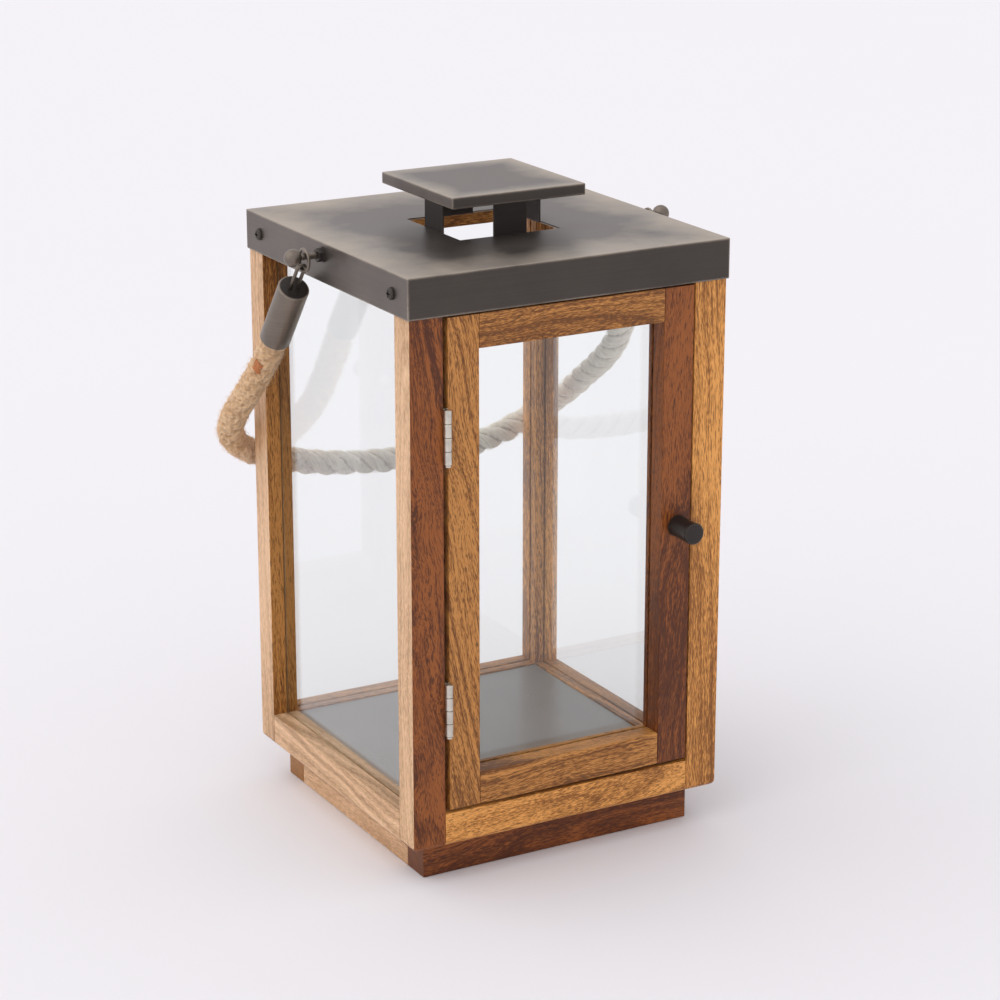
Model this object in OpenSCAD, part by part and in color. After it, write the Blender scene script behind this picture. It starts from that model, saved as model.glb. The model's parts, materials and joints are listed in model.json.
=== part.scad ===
// Square wooden lantern: four posts and rails round three fixed panes, a glazed front door on two
// butt hinges, a folded metal cap with a raised finial plate, and a rope handle that swings on two
// ball studs. Millimetres, +Z up, door towards -Y, origin at the middle of the plinth's underside.

/* [Cap] */
// Width of the square metal cap, outside
cap_w = 210; // [206:1:210]
// Thickness of the cap's sheet metal
sheet_t = 1.2; // [1:0.1:1.5]
// Height of the cap's folded skirt
skirt_h = 24; // [22:1:26]
// Width of the square vent hole in the cap
vent_w = 66; // [60:1:70]
// Width of each strap that carries the finial plate
strap_w = 22; // [16:1:26]
// Width of the square finial plate
finial_w = 88; // [80:1:96]
// Depth of the finial plate's folded lip
finial_lip = 6.8; // [5:0.2:8]
// Clear gap between the cap and the finial plate's lip
finial_gap = 20.5; // [16:0.5:26]

/* [Frame] */
// Height of posts and top rails together, from the plinth to the cap's sheet
frame_h = 340.5; // [325:0.5:360]
// Thickness of the rails, the door and the back posts, front to back
stock_t = 18; // [17:0.5:19]
// Height of the rails
rail_h = 20.5; // [19:0.5:22]
// Width of the two front posts, seen from the door side
front_post_w = 21; // [19:0.5:22]
// Radius of the frame's outer bottom corners
foot_r = 4; // [2:0.5:5]

/* [Plinth and floor] */
// Height of the plinth
plinth_h = 23; // [21:1:26]
// Outer width of the plinth
plinth_w = 182; // [178:1:186]
// Width of the plinth's battens
batten_w = 20; // [18:1:22]
// Thickness of the board under the floor plate
board_t = 18; // [15:0.5:19]
// Thickness of the metal floor plate
floor_t = 1.5; // [1:0.1:2]

/* [Glass] */
// Thickness of the panes
glass_t = 2; // [2:0.1:2.2]
// Distance from the frame's outer face to a fixed pane
glass_inset = 9.5; // [8:0.5:10]
// Distance from the door's front face to its pane
door_glass_inset = 12.2; // [11:0.2:12.6]
// Depth of the glazing grooves
groove_d = 4; // [3:0.5:5]

/* [Door] */
// Width of the door's stiles
stile_w = 20; // [18:0.5:22]
// Gap between the left post and the door, where the hinge leaves sit
hinge_gap = 3; // [2.8:0.1:3.4]
// Gap between the right post and the door
latch_gap = 0.8; // [0.7:0.1:1.2]
// Gap under and over the door
door_gap = 2; // [1.6:0.1:2.4]
// Diameter of the turned knob
knob_d = 13; // [12:0.5:15]
// Length of the turned knob
knob_l = 19; // [16:0.5:21]
// Height of the knob above the surface that the lantern stands on
knob_z = 195; // [150:1:240]

/* [Hinges] */
// Length of each hinge
hinge_h = 32; // [28:1:38]
// Height of the lower hinge's middle
hinge_low_z = 109; // [90:1:130]
// Height of the upper hinge's middle
hinge_high_z = 272; // [250:1:290]
// Outer radius of the knuckles
knuckle_r = 2.3; // [2.2:0.05:2.4]

/* [Handle] */
// Distance of the studs' axis below the cap's top
stud_drop = 7.2; // [6.6:0.2:9]
// Radius of the ball on the end of each stud
ball_r = 5.2; // [4.6:0.1:5.4]
// Diameter of the rope
rope_d = 16; // [15:0.2:16]
// Outer diameter of the rope's end caps
end_cap_d = 18.6; // [18.2:0.1:19]
// Length of the rope's end caps
end_cap_l = 46; // [42:1:48]
// Lean of the left end cap from the vertical, towards the back
lean_left = 37; // [35:1:39]
// Lean of the right end cap from the vertical, towards the back
lean_right = 20; // [18:1:22]

/* [Hidden] */
$fn = 48;

wood_pale = "#c9a06a";
wood_mid = "#a9743c";
wood_dark = "#7a4526";
bronze = "#6f6a66";
bronze_dark = "#3f3a36";
zinc = "#cfc8ba";
floor_grey = "#8d9096";
jute = "#c8a877";
glass_tint = [0.85, 0.93, 0.9, 0.3];

// Half widths and levels
cap_a = cap_w / 2;
frame_a = cap_a - sheet_t;
inner_a = frame_a - stock_t;
plinth_a = plinth_w / 2;
plinth_r = 3;
vent_a = vent_w / 2;
rail_top_z = plinth_h + rail_h;
frame_top_z = plinth_h + frame_h;
post_top_z = frame_top_z - rail_h;
cap_top_z = frame_top_z + sheet_t;
skirt_z = cap_top_z - skirt_h;
total_h = cap_top_z + finial_gap + finial_lip;
stud_z = cap_top_z - stud_drop;
front_inner_x = frame_a - front_post_w;
groove_w = glass_t + 0.2;
glass_play = 0.5;

// Door outline
door_x0 = -front_inner_x + hinge_gap;
door_x1 = front_inner_x - latch_gap;
door_bevel = 0.8;
door_z0 = rail_top_z + door_gap;
door_z1 = skirt_z - door_gap / 2;
door_back_y = -frame_a + stock_t;
stile_in_x0 = door_x0 + stile_w;
stile_in_x1 = door_x1 - stile_w;
knob_x = door_x1 - stile_w / 2 + 1;
knob_screw_r = 2;
knob_screw_l = 26;
knob_screw_head_h = 2.4;
catch_z = door_z1 - 24;
catch_r = 4;
catch_magnet_l = 5;
catch_plate_x = door_x1 - door_bevel / 2 - 0.1;
catch_plate_t = 1.3;

// Hinge axis, in front of the middle of the left gap
hinge_x = -front_inner_x + hinge_gap / 2;
leaf_clear = 0.1;
hinge_y = -frame_a - knuckle_r - leaf_clear;
leaf_t = 1.1;
leaf_reach = 14;
hinge_pin_r = 1.1;
pin_play = 0.05;
knuckle_play = 0.25;
knuckle_gap = 0.2;
knuckles = 4;
leaf_head_r = 2.2;
leaf_screw_r = 1.3;
leaf_screw_l = 9;
leaf_screw_y = 9.5;
leaf_screw_pitch = 17;
hinge_pin_head_r = 1.8;
hinge_pin_head_h = 0.9;
hinge_pin_below = 0.4;
hinge_pin_out = 1.2;

// Fastener sizes
screw_head_r = 3.6;
dowel_r = 3;
dowel_l = 30;
dowel_in = 4.8;
dowel_low_z = plinth_h + 6;
dowel_high_z = plinth_h + 14;
top_dowel_l = 18;
top_dowel_y = inner_a + 7.2;
top_dowel_z = post_top_z + 12.5;
door_dowel_r = 2.5;
door_dowel_l = 28;
door_dowel_in = 6;
cap_screw_y = 86;
cap_screw_r = 1.6;
cap_screw_l = 16;
cap_screw_head_h = 2.3;
cap_screw_z = skirt_z + skirt_h / 2;
floor_screw_at = plinth_a - batten_w / 2 - 3;
floor_screw_off = 45;
floor_screw_z = 7;
floor_screw_r = 1.8;
floor_head_h = 2.4;
floor_screw_l = 28;
top_screw_at = frame_a - 6;
top_head_r = 3.8;
top_head_h = 2.6;
top_screw_r = 1.9;
top_screw_l = 38;
top_screw_sunk = 1;

// Handle: each leg starts on its stud and leans back
stud_r = 2;
stud_in = 15.5;
leg_x = cap_a + 11;
ball_x = cap_a + 19;
ring_wire_r = 0.95;
ring_r = 6.4;
eye_wire_r = 1.1;
eye_half_w = 2.3;
eye_top = 7.6;
end_cap_start = 27;
end_cap_wall = end_cap_d / 2 - rope_d / 2;
end_cap_floor = 2.5;
eye_depth = 2;

// Middle of the rope between the end caps, as x, y and the height above the studs' axis, in order
// from the left leg, round the back, to the right leg
rope_route = [
    [-116.5, 54, -71.5],
    [-118, 66, -86],
    [-119.5, 78, -99],
    [-120.5, 90, -111.5],
    [-120, 101, -122.5],
    [-117.2, 110, -132.5],
    [-111.3, 116.2, -141],
    [-102, 119.3, -148.2],
    [-89.5, 119.3, -153.8],
    [-72, 116.3, -158.3],
    [-50, 113.4, -162.5],
    [-26, 112.5, -165.5],
    [0, 112.5, -167.3],
    [26, 112.5, -167.5],
    [50, 113.4, -166],
    [71, 116, -163],
    [88, 119, -159],
    [101, 119.4, -154],
    [111, 116.1, -148.3],
    [118, 109.5, -141.5],
    [121.8, 99.5, -133],
    [122.5, 86.5, -123.2],
    [122, 74, -114.5],
    [121, 61.5, -106],
    [119.5, 50, -97.5],
    [118, 40, -88.5],
    [116.8, 32.5, -79.5]
];

// ---------- shared shapes ----------

// Block between two opposite corners
module block(low, high) {
    translate(low) cube(high - low);
}

// Round bar along +X from x0 to x1, at y, z
module bar_x(r, x0, x1, y, z) {
    translate([x0, y, z]) rotate([0, 90, 0]) cylinder(r = r, h = x1 - x0);
}

// Round bar along +Y from y0 to y1, at x, z
module bar_y(r, y0, y1, x, z) {
    translate([x, y0, z]) rotate([-90, 0, 0]) cylinder(r = r, h = y1 - y0);
}

// Round bar along +Z from z0 to z1, at x, y
module bar_z(r, z0, z1, x, y) {
    translate([x, y, z0]) cylinder(r = r, h = z1 - z0);
}

// Upright outline of half width a from z0 to z1, with its bottom corners rounded to radius r
module rounded_foot_outline(a, z0, z1, r) {
    translate([-a, z0 + r]) square([2 * a, z1 - z0 - r]);
    translate([-a + r, z0]) square([2 * (a - r), r]);
    for (s = [-1, 1]) translate([s * (a - r), z0 + r]) circle(r);
}

// Square upright prism of half width a whose four bottom edges are rounded to radius r
module rounded_foot(a, z0, z1, r) {
    intersection() {
        rotate([90, 0, 0]) linear_extrude(4 * a, center = true) rounded_foot_outline(a, z0, z1, r);
        rotate([90, 0, 90]) linear_extrude(4 * a, center = true) rounded_foot_outline(a, z0, z1, r);
    }
}

// Cross recess of a screw head, cut down from z = 0
module cross_recess(l, w, d) {
    for (a = [0, 90]) rotate([0, 0, a]) translate([-l / 2, -w / 2, -d]) cube([l, w, d + 1]);
}

// Pan-head screw along +Z: its head stands above z = 0 and its shank runs down
module pan_screw(head_r, head_h, shank_r, shank_l) {
    difference() {
        rotate_extrude() polygon([
            [0, -shank_l], [shank_r, -shank_l + shank_r], [shank_r, 0], [head_r, 0],
            [head_r, head_h * 0.45], [head_r * 0.85, head_h * 0.8], [head_r * 0.55, head_h], [0, head_h]
        ]);
        translate([0, 0, head_h]) cross_recess(head_r * 1.15, head_r * 0.3, head_h * 0.6);
    }
}

// Countersunk screw along +Z: its flat head lies below z = 0
module flat_screw(head_r, head_h, shank_r, shank_l) {
    difference() {
        rotate_extrude() polygon([
            [0, -shank_l], [shank_r, -shank_l + shank_r], [shank_r, -head_h], [head_r, 0], [0, 0]
        ]);
        cross_recess(head_r * 1.1, head_r * 0.3, head_h * 0.5);
    }
}

// Room that a countersunk screw takes in the pieces that it joins
module flat_screw_room(head_r, head_h, shank_r, shank_l) {
    over = 12;
    rotate_extrude() polygon([
        [0, -shank_l], [shank_r, -shank_l + shank_r], [shank_r, -head_h], [head_r, 0],
        [head_r, over], [0, over]
    ]);
}

// ---------- plinth and floor ----------

module at_floor_screws() {
    for (s = [-1, 1], t = [-1, 1]) {
        translate([s * floor_screw_at, t * floor_screw_off, floor_screw_z]) rotate([180, 0, 0]) children();
        translate([t * floor_screw_off, s * floor_screw_at, floor_screw_z]) rotate([180, 0, 0]) children();
    }
}

module floor_screw_room() {
    at_floor_screws() flat_screw_room(screw_head_r, floor_head_h, floor_screw_r, floor_screw_l);
}

// The front and back battens run the full width, and the side battens fit between them
module plinth_batten(low, high) {
    difference() {
        intersection() {
            rounded_foot(plinth_a, 0, plinth_h, plinth_r);
            block(low, high);
        }
        floor_screw_room();
    }
}

module plinth_front() {
    color(wood_dark) plinth_batten([-plinth_a, -plinth_a, 0], [plinth_a, -plinth_a + batten_w, plinth_h]);
}

module plinth_back() {
    color(wood_mid) plinth_batten([-plinth_a, plinth_a - batten_w, 0], [plinth_a, plinth_a, plinth_h]);
}

module plinth_side(s) {
    x = s * (plinth_a - batten_w / 2);
    color(wood_pale) plinth_batten(
        [x - batten_w / 2, -plinth_a + batten_w, 0],
        [x + batten_w / 2, plinth_a - batten_w, plinth_h]
    );
}

module plinth_screws() {
    color(zinc) at_floor_screws() flat_screw(screw_head_r, floor_head_h, floor_screw_r, floor_screw_l);
}

module floor_board() {
    color(wood_pale) difference() {
        block([-inner_a, -inner_a, plinth_h], [inner_a, inner_a, plinth_h + board_t]);
        floor_screw_room();
    }
}

module floor_plate() {
    z = plinth_h + board_t;
    color(floor_grey) block([-inner_a, -inner_a, z], [inner_a, inner_a, z + floor_t]);
}

// ---------- frame ----------

// Glazing groove for a pane in the plane x = s * (frame_a - glass_inset)
module side_groove(s) {
    x = s * (frame_a - glass_inset - glass_t / 2);
    reach = inner_a + groove_d;
    block(
        [x - groove_w / 2, -reach, rail_top_z - groove_d],
        [x + groove_w / 2, reach, post_top_z + groove_d]
    );
}

module back_groove() {
    y = frame_a - glass_inset - glass_t / 2;
    reach = inner_a + groove_d;
    block(
        [-reach, y - groove_w / 2, rail_top_z - groove_d],
        [reach, y + groove_w / 2, post_top_z + groove_d]
    );
}

// Dowels of the rails: at the bottom the side rails' sit lower than the front and back rails', and at
// the top the front and back rails are dowelled between the side rails
module rail_dowels() {
    outer = frame_a - dowel_in;
    half = dowel_l / 2;
    for (s = [-1, 1], t = [-1, 1])
        bar_y(dowel_r, t * inner_a - half, t * inner_a + half, s * outer, dowel_low_z);
    for (s = [-1, 1]) {
        bar_x(dowel_r, s * inner_a - half, s * inner_a + half, outer, dowel_high_z);
        bar_x(
            dowel_r, s * front_inner_x - half, s * front_inner_x + half,
            -frame_a + stock_t / 2, dowel_high_z
        );
    }
    for (s = [-1, 1], t = [-1, 1])
        bar_x(
            dowel_r, s * inner_a - top_dowel_l / 2, s * inner_a + top_dowel_l / 2,
            t * top_dowel_y, top_dowel_z
        );
}

module frame_dowels() {
    color(wood_pale) rail_dowels();
}

module at_top_screws() {
    for (s = [-1, 1], t = [-1, 1])
        translate([s * top_screw_at, t * top_screw_at, frame_top_z - top_screw_sunk]) children();
}

module top_rail_screws() {
    color(zinc) at_top_screws() flat_screw(top_head_r, top_head_h, top_screw_r, top_screw_l);
}

module stud_holes() {
    for (s = [-1, 1]) translate([s * cap_a, 0, stud_z]) rotate([0, s * 90, 0])
        translate([0, 0, -stud_in]) cylinder(r = stud_r, h = stud_in + 1);
}

module at_cap_screws() {
    for (s = [-1, 1], t = [-1, 1])
        translate([s * cap_a, t * cap_screw_y, cap_screw_z]) rotate([0, s * 90, 0]) children();
}

module cap_screw_room() {
    at_cap_screws() translate([0, 0, -cap_screw_l]) cylinder(r = cap_screw_r, h = cap_screw_l + 1);
}

module magnet_room() {
    bar_x(catch_r, front_inner_x, front_inner_x + catch_magnet_l, -frame_a + stock_t / 2, catch_z);
}

// Everything that is bored or ploughed out of the frame's members
module frame_cuts() {
    for (s = [-1, 1]) side_groove(s);
    back_groove();
    rail_dowels();
    at_top_screws() flat_screw_room(top_head_r, top_head_h, top_screw_r, top_screw_l);
    stud_holes();
    cap_screw_room();
    magnet_room();
    hinge_post_screw_room();
}

module frame_member(low, high) {
    difference() {
        intersection() {
            rounded_foot(frame_a, plinth_h, frame_top_z, foot_r);
            block(low, high);
        }
        frame_cuts();
    }
}

module post_front(s) {
    x = s * (frame_a - front_post_w / 2);
    frame_member(
        [x - front_post_w / 2, -frame_a, plinth_h],
        [x + front_post_w / 2, -inner_a, post_top_z]
    );
}

module post_back(s) {
    x = s * (frame_a - stock_t / 2);
    frame_member([x - stock_t / 2, inner_a, plinth_h], [x + stock_t / 2, frame_a, post_top_z]);
}

// Rail along X between the posts, in front (s = -1) or at the back (s = 1)
module rail_across(s, half, z0) {
    y = s * (frame_a - stock_t / 2);
    frame_member([-half, y - stock_t / 2, z0], [half, y + stock_t / 2, z0 + rail_h]);
}

// Rail along Y, on the left (s = -1) or the right (s = 1)
module rail_along(s, half, z0) {
    x = s * (frame_a - stock_t / 2);
    frame_member([x - stock_t / 2, -half, z0], [x + stock_t / 2, half, z0 + rail_h]);
}

// ---------- fixed panes ----------

module glass_side(s) {
    x = s * (frame_a - glass_inset - glass_t / 2);
    reach = inner_a + groove_d - glass_play;
    color(glass_tint) block(
        [x - glass_t / 2, -reach, rail_top_z - groove_d],
        [x + glass_t / 2, reach, post_top_z + groove_d - glass_play]
    );
}

module glass_back() {
    y = frame_a - glass_inset - glass_t / 2;
    reach = inner_a + groove_d - glass_play;
    color(glass_tint) block(
        [-reach, y - glass_t / 2, rail_top_z - groove_d],
        [reach, y + glass_t / 2, post_top_z + groove_d - glass_play]
    );
}

// ---------- cap ----------

module cap() {
    color(bronze) difference() {
        block([-cap_a, -cap_a, skirt_z], [cap_a, cap_a, cap_top_z]);
        block([-frame_a, -frame_a, skirt_z - 1], [frame_a, frame_a, frame_top_z]);
        block([-vent_a, -vent_a, frame_top_z - 1], [vent_a, vent_a, cap_top_z + 1]);
        stud_holes();
        cap_screw_room();
    }
}

module cap_screws() {
    color(bronze_dark) at_cap_screws() pan_screw(
        screw_head_r, cap_screw_head_h, cap_screw_r, cap_screw_l
    );
}

module finial_straps() {
    color(bronze_dark) for (a = [0 : 90 : 270]) rotate([0, 0, a])
        block([vent_a - sheet_t, -strap_w / 2, frame_top_z], [vent_a, strap_w / 2, total_h - sheet_t]);
}

module finial_plate() {
    a = finial_w / 2;
    z = total_h - finial_lip;
    color(bronze) difference() {
        block([-a, -a, z], [a, a, total_h]);
        block([-a + sheet_t, -a + sheet_t, z - 1], [a - sheet_t, a - sheet_t, total_h - sheet_t]);
    }
}

// ---------- studs ----------

// Turned stud along +Z: a screw tail, a plain shank and a ball
module stud_profile() {
    rotate_extrude() difference() {
        union() {
            square([stud_r, ball_x - cap_a + stud_in]);
            translate([0, ball_x - cap_a + stud_in]) circle(ball_r);
        }
        translate([-2 * ball_r, -1]) square([2 * ball_r, 60]);
    }
}

module stud(s) {
    color(bronze) translate([s * (cap_a - stud_in), 0, stud_z]) rotate([0, s * 90, 0]) stud_profile();
}

// Hexagon nut on a washer, against the cap's skirt
module stud_nut(s) {
    washer_r = 4.6;
    washer_t = 0.8;
    nut_r = 4.1;
    nut_t = 3.2;
    color(bronze_dark) translate([s * cap_a, 0, stud_z]) rotate([0, s * 90, 0]) difference() {
        union() {
            cylinder(r = washer_r, h = washer_t);
            translate([0, 0, washer_t]) cylinder(r = nut_r, h = nut_t, $fn = 6);
        }
        translate([0, 0, -1]) cylinder(r = stud_r, h = washer_t + nut_t + 2);
    }
}

// ---------- hinges ----------

// Levels of knuckle i of a hinge whose middle is at z
function knuckle_z(z, i) = z - hinge_h / 2 + i * hinge_h / knuckles;

// Leaf against the post (side = -1) or the door (side = 1); it owns the knuckles of one parity
module hinge_leaf(z, side, parity) {
    leaf_in = hinge_gap / 2 - leaf_t;
    x0 = hinge_x + (side > 0 ? leaf_in : -hinge_gap / 2);
    step = hinge_h / knuckles;
    face_y = hinge_y + knuckle_r + leaf_clear;
    holes_x = hinge_x + side * hinge_gap / 2;
    color(zinc) difference() {
        union() {
            block([x0, face_y, z - hinge_h / 2], [x0 + leaf_t, hinge_y + leaf_reach, z + hinge_h / 2]);
            for (i = [0 : knuckles - 1]) if (i % 2 == parity) {
                bar_z(
                    knuckle_r, knuckle_z(z, i) + knuckle_gap, knuckle_z(z, i + 1) - knuckle_gap,
                    hinge_x, hinge_y
                );
                block(
                    [x0, hinge_y, knuckle_z(z, i) + knuckle_gap],
                    [x0 + leaf_t, face_y + leaf_clear, knuckle_z(z, i + 1) - knuckle_gap]
                );
            }
        }
        for (i = [0 : knuckles - 1]) if (i % 2 != parity)
            bar_z(
                knuckle_r + knuckle_play, knuckle_z(z, i) - knuckle_gap, knuckle_z(z, i + 1) + knuckle_gap,
                hinge_x, hinge_y
            );
        bar_z(hinge_pin_r + (side > 0 ? pin_play : 0), z - hinge_h, z + hinge_h, hinge_x, hinge_y);
        at_leaf_screws(z, holes_x, side) leaf_screw_room();
    }
}

module at_leaf_screws(z, x, side) {
    for (t = [-1, 1])
        translate([x - side * leaf_t, hinge_y + leaf_screw_y, z + t * leaf_screw_pitch / 2])
            rotate([0, side * -90, 0]) children();
}

module leaf_screw() {
    flat_screw(leaf_head_r, leaf_t, leaf_screw_r, leaf_screw_l);
}

module leaf_screw_room() {
    flat_screw_room(leaf_head_r, leaf_t, leaf_screw_r, leaf_screw_l);
}

module hinge_screws(side) {
    color(zinc) for (z = [hinge_low_z, hinge_high_z])
        at_leaf_screws(z, hinge_x + side * hinge_gap / 2, side) leaf_screw();
}

module hinge_post_screw_room() {
    for (z = [hinge_low_z, hinge_high_z]) at_leaf_screws(z, hinge_x - hinge_gap / 2, -1) leaf_screw_room();
}

module hinge_door_screw_room() {
    for (z = [hinge_low_z, hinge_high_z]) at_leaf_screws(z, hinge_x + hinge_gap / 2, 1) leaf_screw_room();
}

// Pin, held by the post leaf's knuckles, with a small head at its lower end
module hinge_pin(z) {
    low = z - hinge_h / 2;
    color(zinc) {
        bar_z(hinge_pin_r, low - hinge_pin_below, low + hinge_h, hinge_x, hinge_y);
        bar_z(
            hinge_pin_head_r, low - hinge_pin_out, low - hinge_pin_out + hinge_pin_head_h,
            hinge_x, hinge_y
        );
    }
}

// ---------- catch ----------

module catch_magnet() {
    color(bronze_dark) magnet_room();
}

module catch_plate() {
    x = catch_plate_x;
    color(zinc) bar_x(catch_r, x - catch_plate_t, x, -frame_a + stock_t / 2, catch_z);
}

// ---------- door ----------

module door_groove() {
    y = -frame_a + door_glass_inset + glass_t / 2;
    block(
        [stile_in_x0 - groove_d, y - groove_w / 2, door_z0 + stile_w - groove_d],
        [stile_in_x1 + groove_d, y + groove_w / 2, door_z1 - stile_w + groove_d]
    );
}

module door_dowel_bars() {
    half = door_dowel_l / 2;
    for (x = [stile_in_x0, stile_in_x1], z = [door_z0 + stile_w / 2, door_z1 - stile_w / 2])
        bar_x(door_dowel_r, x - half, x + half, -frame_a + door_dowel_in, z);
}

module knob_screw_room() {
    bar_y(knob_screw_r, -frame_a - 1, door_back_y + 1, knob_x, knob_z);
}

module catch_plate_room() {
    x = catch_plate_x;
    bar_x(catch_r, x - catch_plate_t, x + 2, -frame_a + stock_t / 2, catch_z);
}

// The latch stile's free edge is bevelled so that it clears its post as the door swings
module door_outline() {
    polygon([
        [door_x0, -frame_a], [door_x1, -frame_a],
        [door_x1 - door_bevel, door_back_y], [door_x0, door_back_y]
    ]);
}

module door_member(low, high) {
    difference() {
        intersection() {
            translate([0, 0, door_z0]) linear_extrude(door_z1 - door_z0) door_outline();
            block(low, high);
        }
        door_groove();
        door_dowel_bars();
        knob_screw_room();
        catch_plate_room();
        hinge_door_screw_room();
    }
}

module door_stile_left() {
    color(wood_mid) door_member([door_x0, -frame_a, door_z0], [stile_in_x0, door_back_y, door_z1]);
}

module door_stile_right() {
    color(wood_dark) door_member([stile_in_x1, -frame_a, door_z0], [door_x1, door_back_y, door_z1]);
}

module door_rail(z0) {
    color(wood_mid) door_member([stile_in_x0, -frame_a, z0], [stile_in_x1, door_back_y, z0 + stile_w]);
}

module door_dowels() {
    color(wood_pale) door_dowel_bars();
}

module door_glass() {
    y = -frame_a + door_glass_inset + glass_t / 2;
    grip = groove_d - glass_play;
    color(glass_tint) block(
        [stile_in_x0 - grip, y - glass_t / 2, door_z0 + stile_w - groove_d],
        [stile_in_x1 + grip, y + glass_t / 2, door_z1 - stile_w + grip]
    );
}

// Turned knob with a slightly waisted body and an eased end
module knob() {
    r = knob_d / 2;
    color(bronze_dark) translate([knob_x, -frame_a, knob_z]) rotate([90, 0, 0]) difference() {
        rotate_extrude() polygon([
            [0, 0], [r, 0], [r - 0.3, knob_l * 0.3], [r - 0.3, knob_l * 0.6], [r + 0.2, knob_l - 1.4],
            [r, knob_l - 0.5], [r - 0.7, knob_l], [0, knob_l]
        ]);
        translate([0, 0, -1]) cylinder(r = knob_screw_r, h = knob_screw_l - stock_t + 3);
    }
}

module knob_screw() {
    color(zinc) translate([knob_x, door_back_y, knob_z]) rotate([-90, 0, 0])
        pan_screw(screw_head_r, knob_screw_head_h, knob_screw_r, knob_screw_l);
}

// ---------- handle ----------

// Carries its children from a leg's own axes, hanging along -Z from the stud, to its place
module on_leg(s, lean) {
    translate([s * leg_x, 0, stud_z]) rotate([lean, 0, 0]) children();
}

function on_leg_point(s, lean, d) = [s * leg_x, d * sin(lean), stud_z - d * cos(lean)];

// Closed ring that hangs on the stud's shank
module ring(s, lean) {
    hang = ring_r - ring_wire_r - stud_r - 0.1;
    color(bronze) on_leg(s, lean) translate([0, 0, -hang]) rotate([0, 90, 0])
        rotate_extrude() translate([ring_r, 0]) circle(ring_wire_r, $fn = 24);
}

// Staple bent over the ring, with its legs in the top of the end cap
module cap_eye(s, lean) {
    leg_top = -eye_top - eye_half_w;
    color(bronze) on_leg(s, lean) {
        translate([0, 0, leg_top]) rotate([90, 0, 0]) rotate_extrude(angle = 180)
            translate([eye_half_w, 0]) circle(eye_wire_r, $fn = 24);
        for (t = [-1, 1])
            bar_z(eye_wire_r, -end_cap_start - eye_depth, leg_top, t * eye_half_w, 0, $fn = 24);
    }
}

// Turned cup that grips the rope's end
module end_cap(s, lean) {
    r = end_cap_d / 2;
    color(bronze) on_leg(s, lean) difference() {
        translate([0, 0, -end_cap_start - end_cap_l]) rotate_extrude() polygon([
            [0, 0], [r - 0.5, 0], [r, 0.5], [r, end_cap_l - 0.4], [r - 0.4, end_cap_l], [0, end_cap_l]
        ]);
        bar_z(r - end_cap_wall, -end_cap_start - end_cap_l - 1, -end_cap_start - end_cap_floor, 0, 0);
        for (t = [-1, 1])
            bar_z(eye_wire_r, -end_cap_start - eye_depth, -end_cap_start + 1, t * eye_half_w, 0, $fn = 24);
    }
}

// ---------- rope ----------

rope_sides = 12;
rope_end = end_cap_start + end_cap_floor;
rope_mouth = end_cap_start + end_cap_l;
rope_points = concat(
    [on_leg_point(-1, lean_left, rope_end), on_leg_point(-1, lean_left, rope_mouth)],
    [for (p = rope_route) p + [0, 0, stud_z]],
    [on_leg_point(1, lean_right, rope_mouth), on_leg_point(1, lean_right, rope_end)]
);

function unit(v) = v / norm(v);
function tangent(p, i) = unit(p[min(i + 1, len(p) - 1)] - p[max(i - 1, 0)]);

// Ring of points round route point i, square to the route; both legs and the back of the loop lie
// near one plane, whose normal holds the ring's first point in place
function rope_ring(p, i) =
    let (t = tangent(p, i), side = unit(cross(t, [0, 1, 1])), up = cross(side, t))
    [for (k = [0 : rope_sides - 1]) let (a = 360 * k / rope_sides)
        p[i] + rope_d / 2 * (cos(a) * side + sin(a) * up)];

module handle_rope() {
    n = len(rope_points);
    m = rope_sides;
    points = [for (i = [0 : n - 1]) each rope_ring(rope_points, i)];
    walls = [for (i = [0 : n - 2], k = [0 : m - 1])
        [i * m + k, i * m + (k + 1) % m, (i + 1) * m + (k + 1) % m, (i + 1) * m + k]];
    ends = [[for (k = [m - 1 : -1 : 0]) k], [for (k = [0 : m - 1]) (n - 1) * m + k]];
    color(jute) polyhedron(points, concat(walls, ends), convexity = 6);
}

// ---------- nodes ----------

plinth_front();
plinth_back();
plinth_side(-1);  // plinth_left
plinth_side(1);  // plinth_right
plinth_screws();
floor_board();
floor_plate();
color(wood_dark) post_front(-1);  // post_front_left
color(wood_mid) post_front(1);  // post_front_right
color(wood_pale) post_back(-1);  // post_back_left
color(wood_mid) post_back(1);  // post_back_right
color(wood_mid) rail_across(-1, front_inner_x, plinth_h);  // rail_bottom_front
color(wood_mid) rail_across(1, inner_a, plinth_h);  // rail_bottom_back
color(wood_pale) rail_along(-1, inner_a, plinth_h);  // rail_bottom_left
color(wood_mid) rail_along(1, inner_a, plinth_h);  // rail_bottom_right
color(wood_mid) rail_across(-1, inner_a, post_top_z);  // rail_top_front
color(wood_mid) rail_across(1, inner_a, post_top_z);  // rail_top_back
color(wood_mid) rail_along(-1, frame_a, post_top_z);  // rail_top_left
color(wood_mid) rail_along(1, frame_a, post_top_z);  // rail_top_right
frame_dowels();
top_rail_screws();
glass_side(-1);  // glass_left
glass_side(1);  // glass_right
glass_back();
cap();
cap_screws();
finial_straps();
finial_plate();
stud(-1);  // stud_left
stud(1);  // stud_right
stud_nut(-1);  // stud_nut_left
stud_nut(1);  // stud_nut_right
hinge_leaf(hinge_high_z, -1, 1);  // hinge_post_leaf_top
hinge_leaf(hinge_low_z, -1, 1);  // hinge_post_leaf_bottom
hinge_screws(-1);  // hinge_post_screws
hinge_pin(hinge_high_z);  // hinge_pin_top
hinge_pin(hinge_low_z);  // hinge_pin_bottom
catch_magnet();
door_stile_left();
door_stile_right();
door_rail(door_z1 - stile_w);  // door_rail_top
door_rail(door_z0);  // door_rail_bottom
door_dowels();
door_glass();
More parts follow.
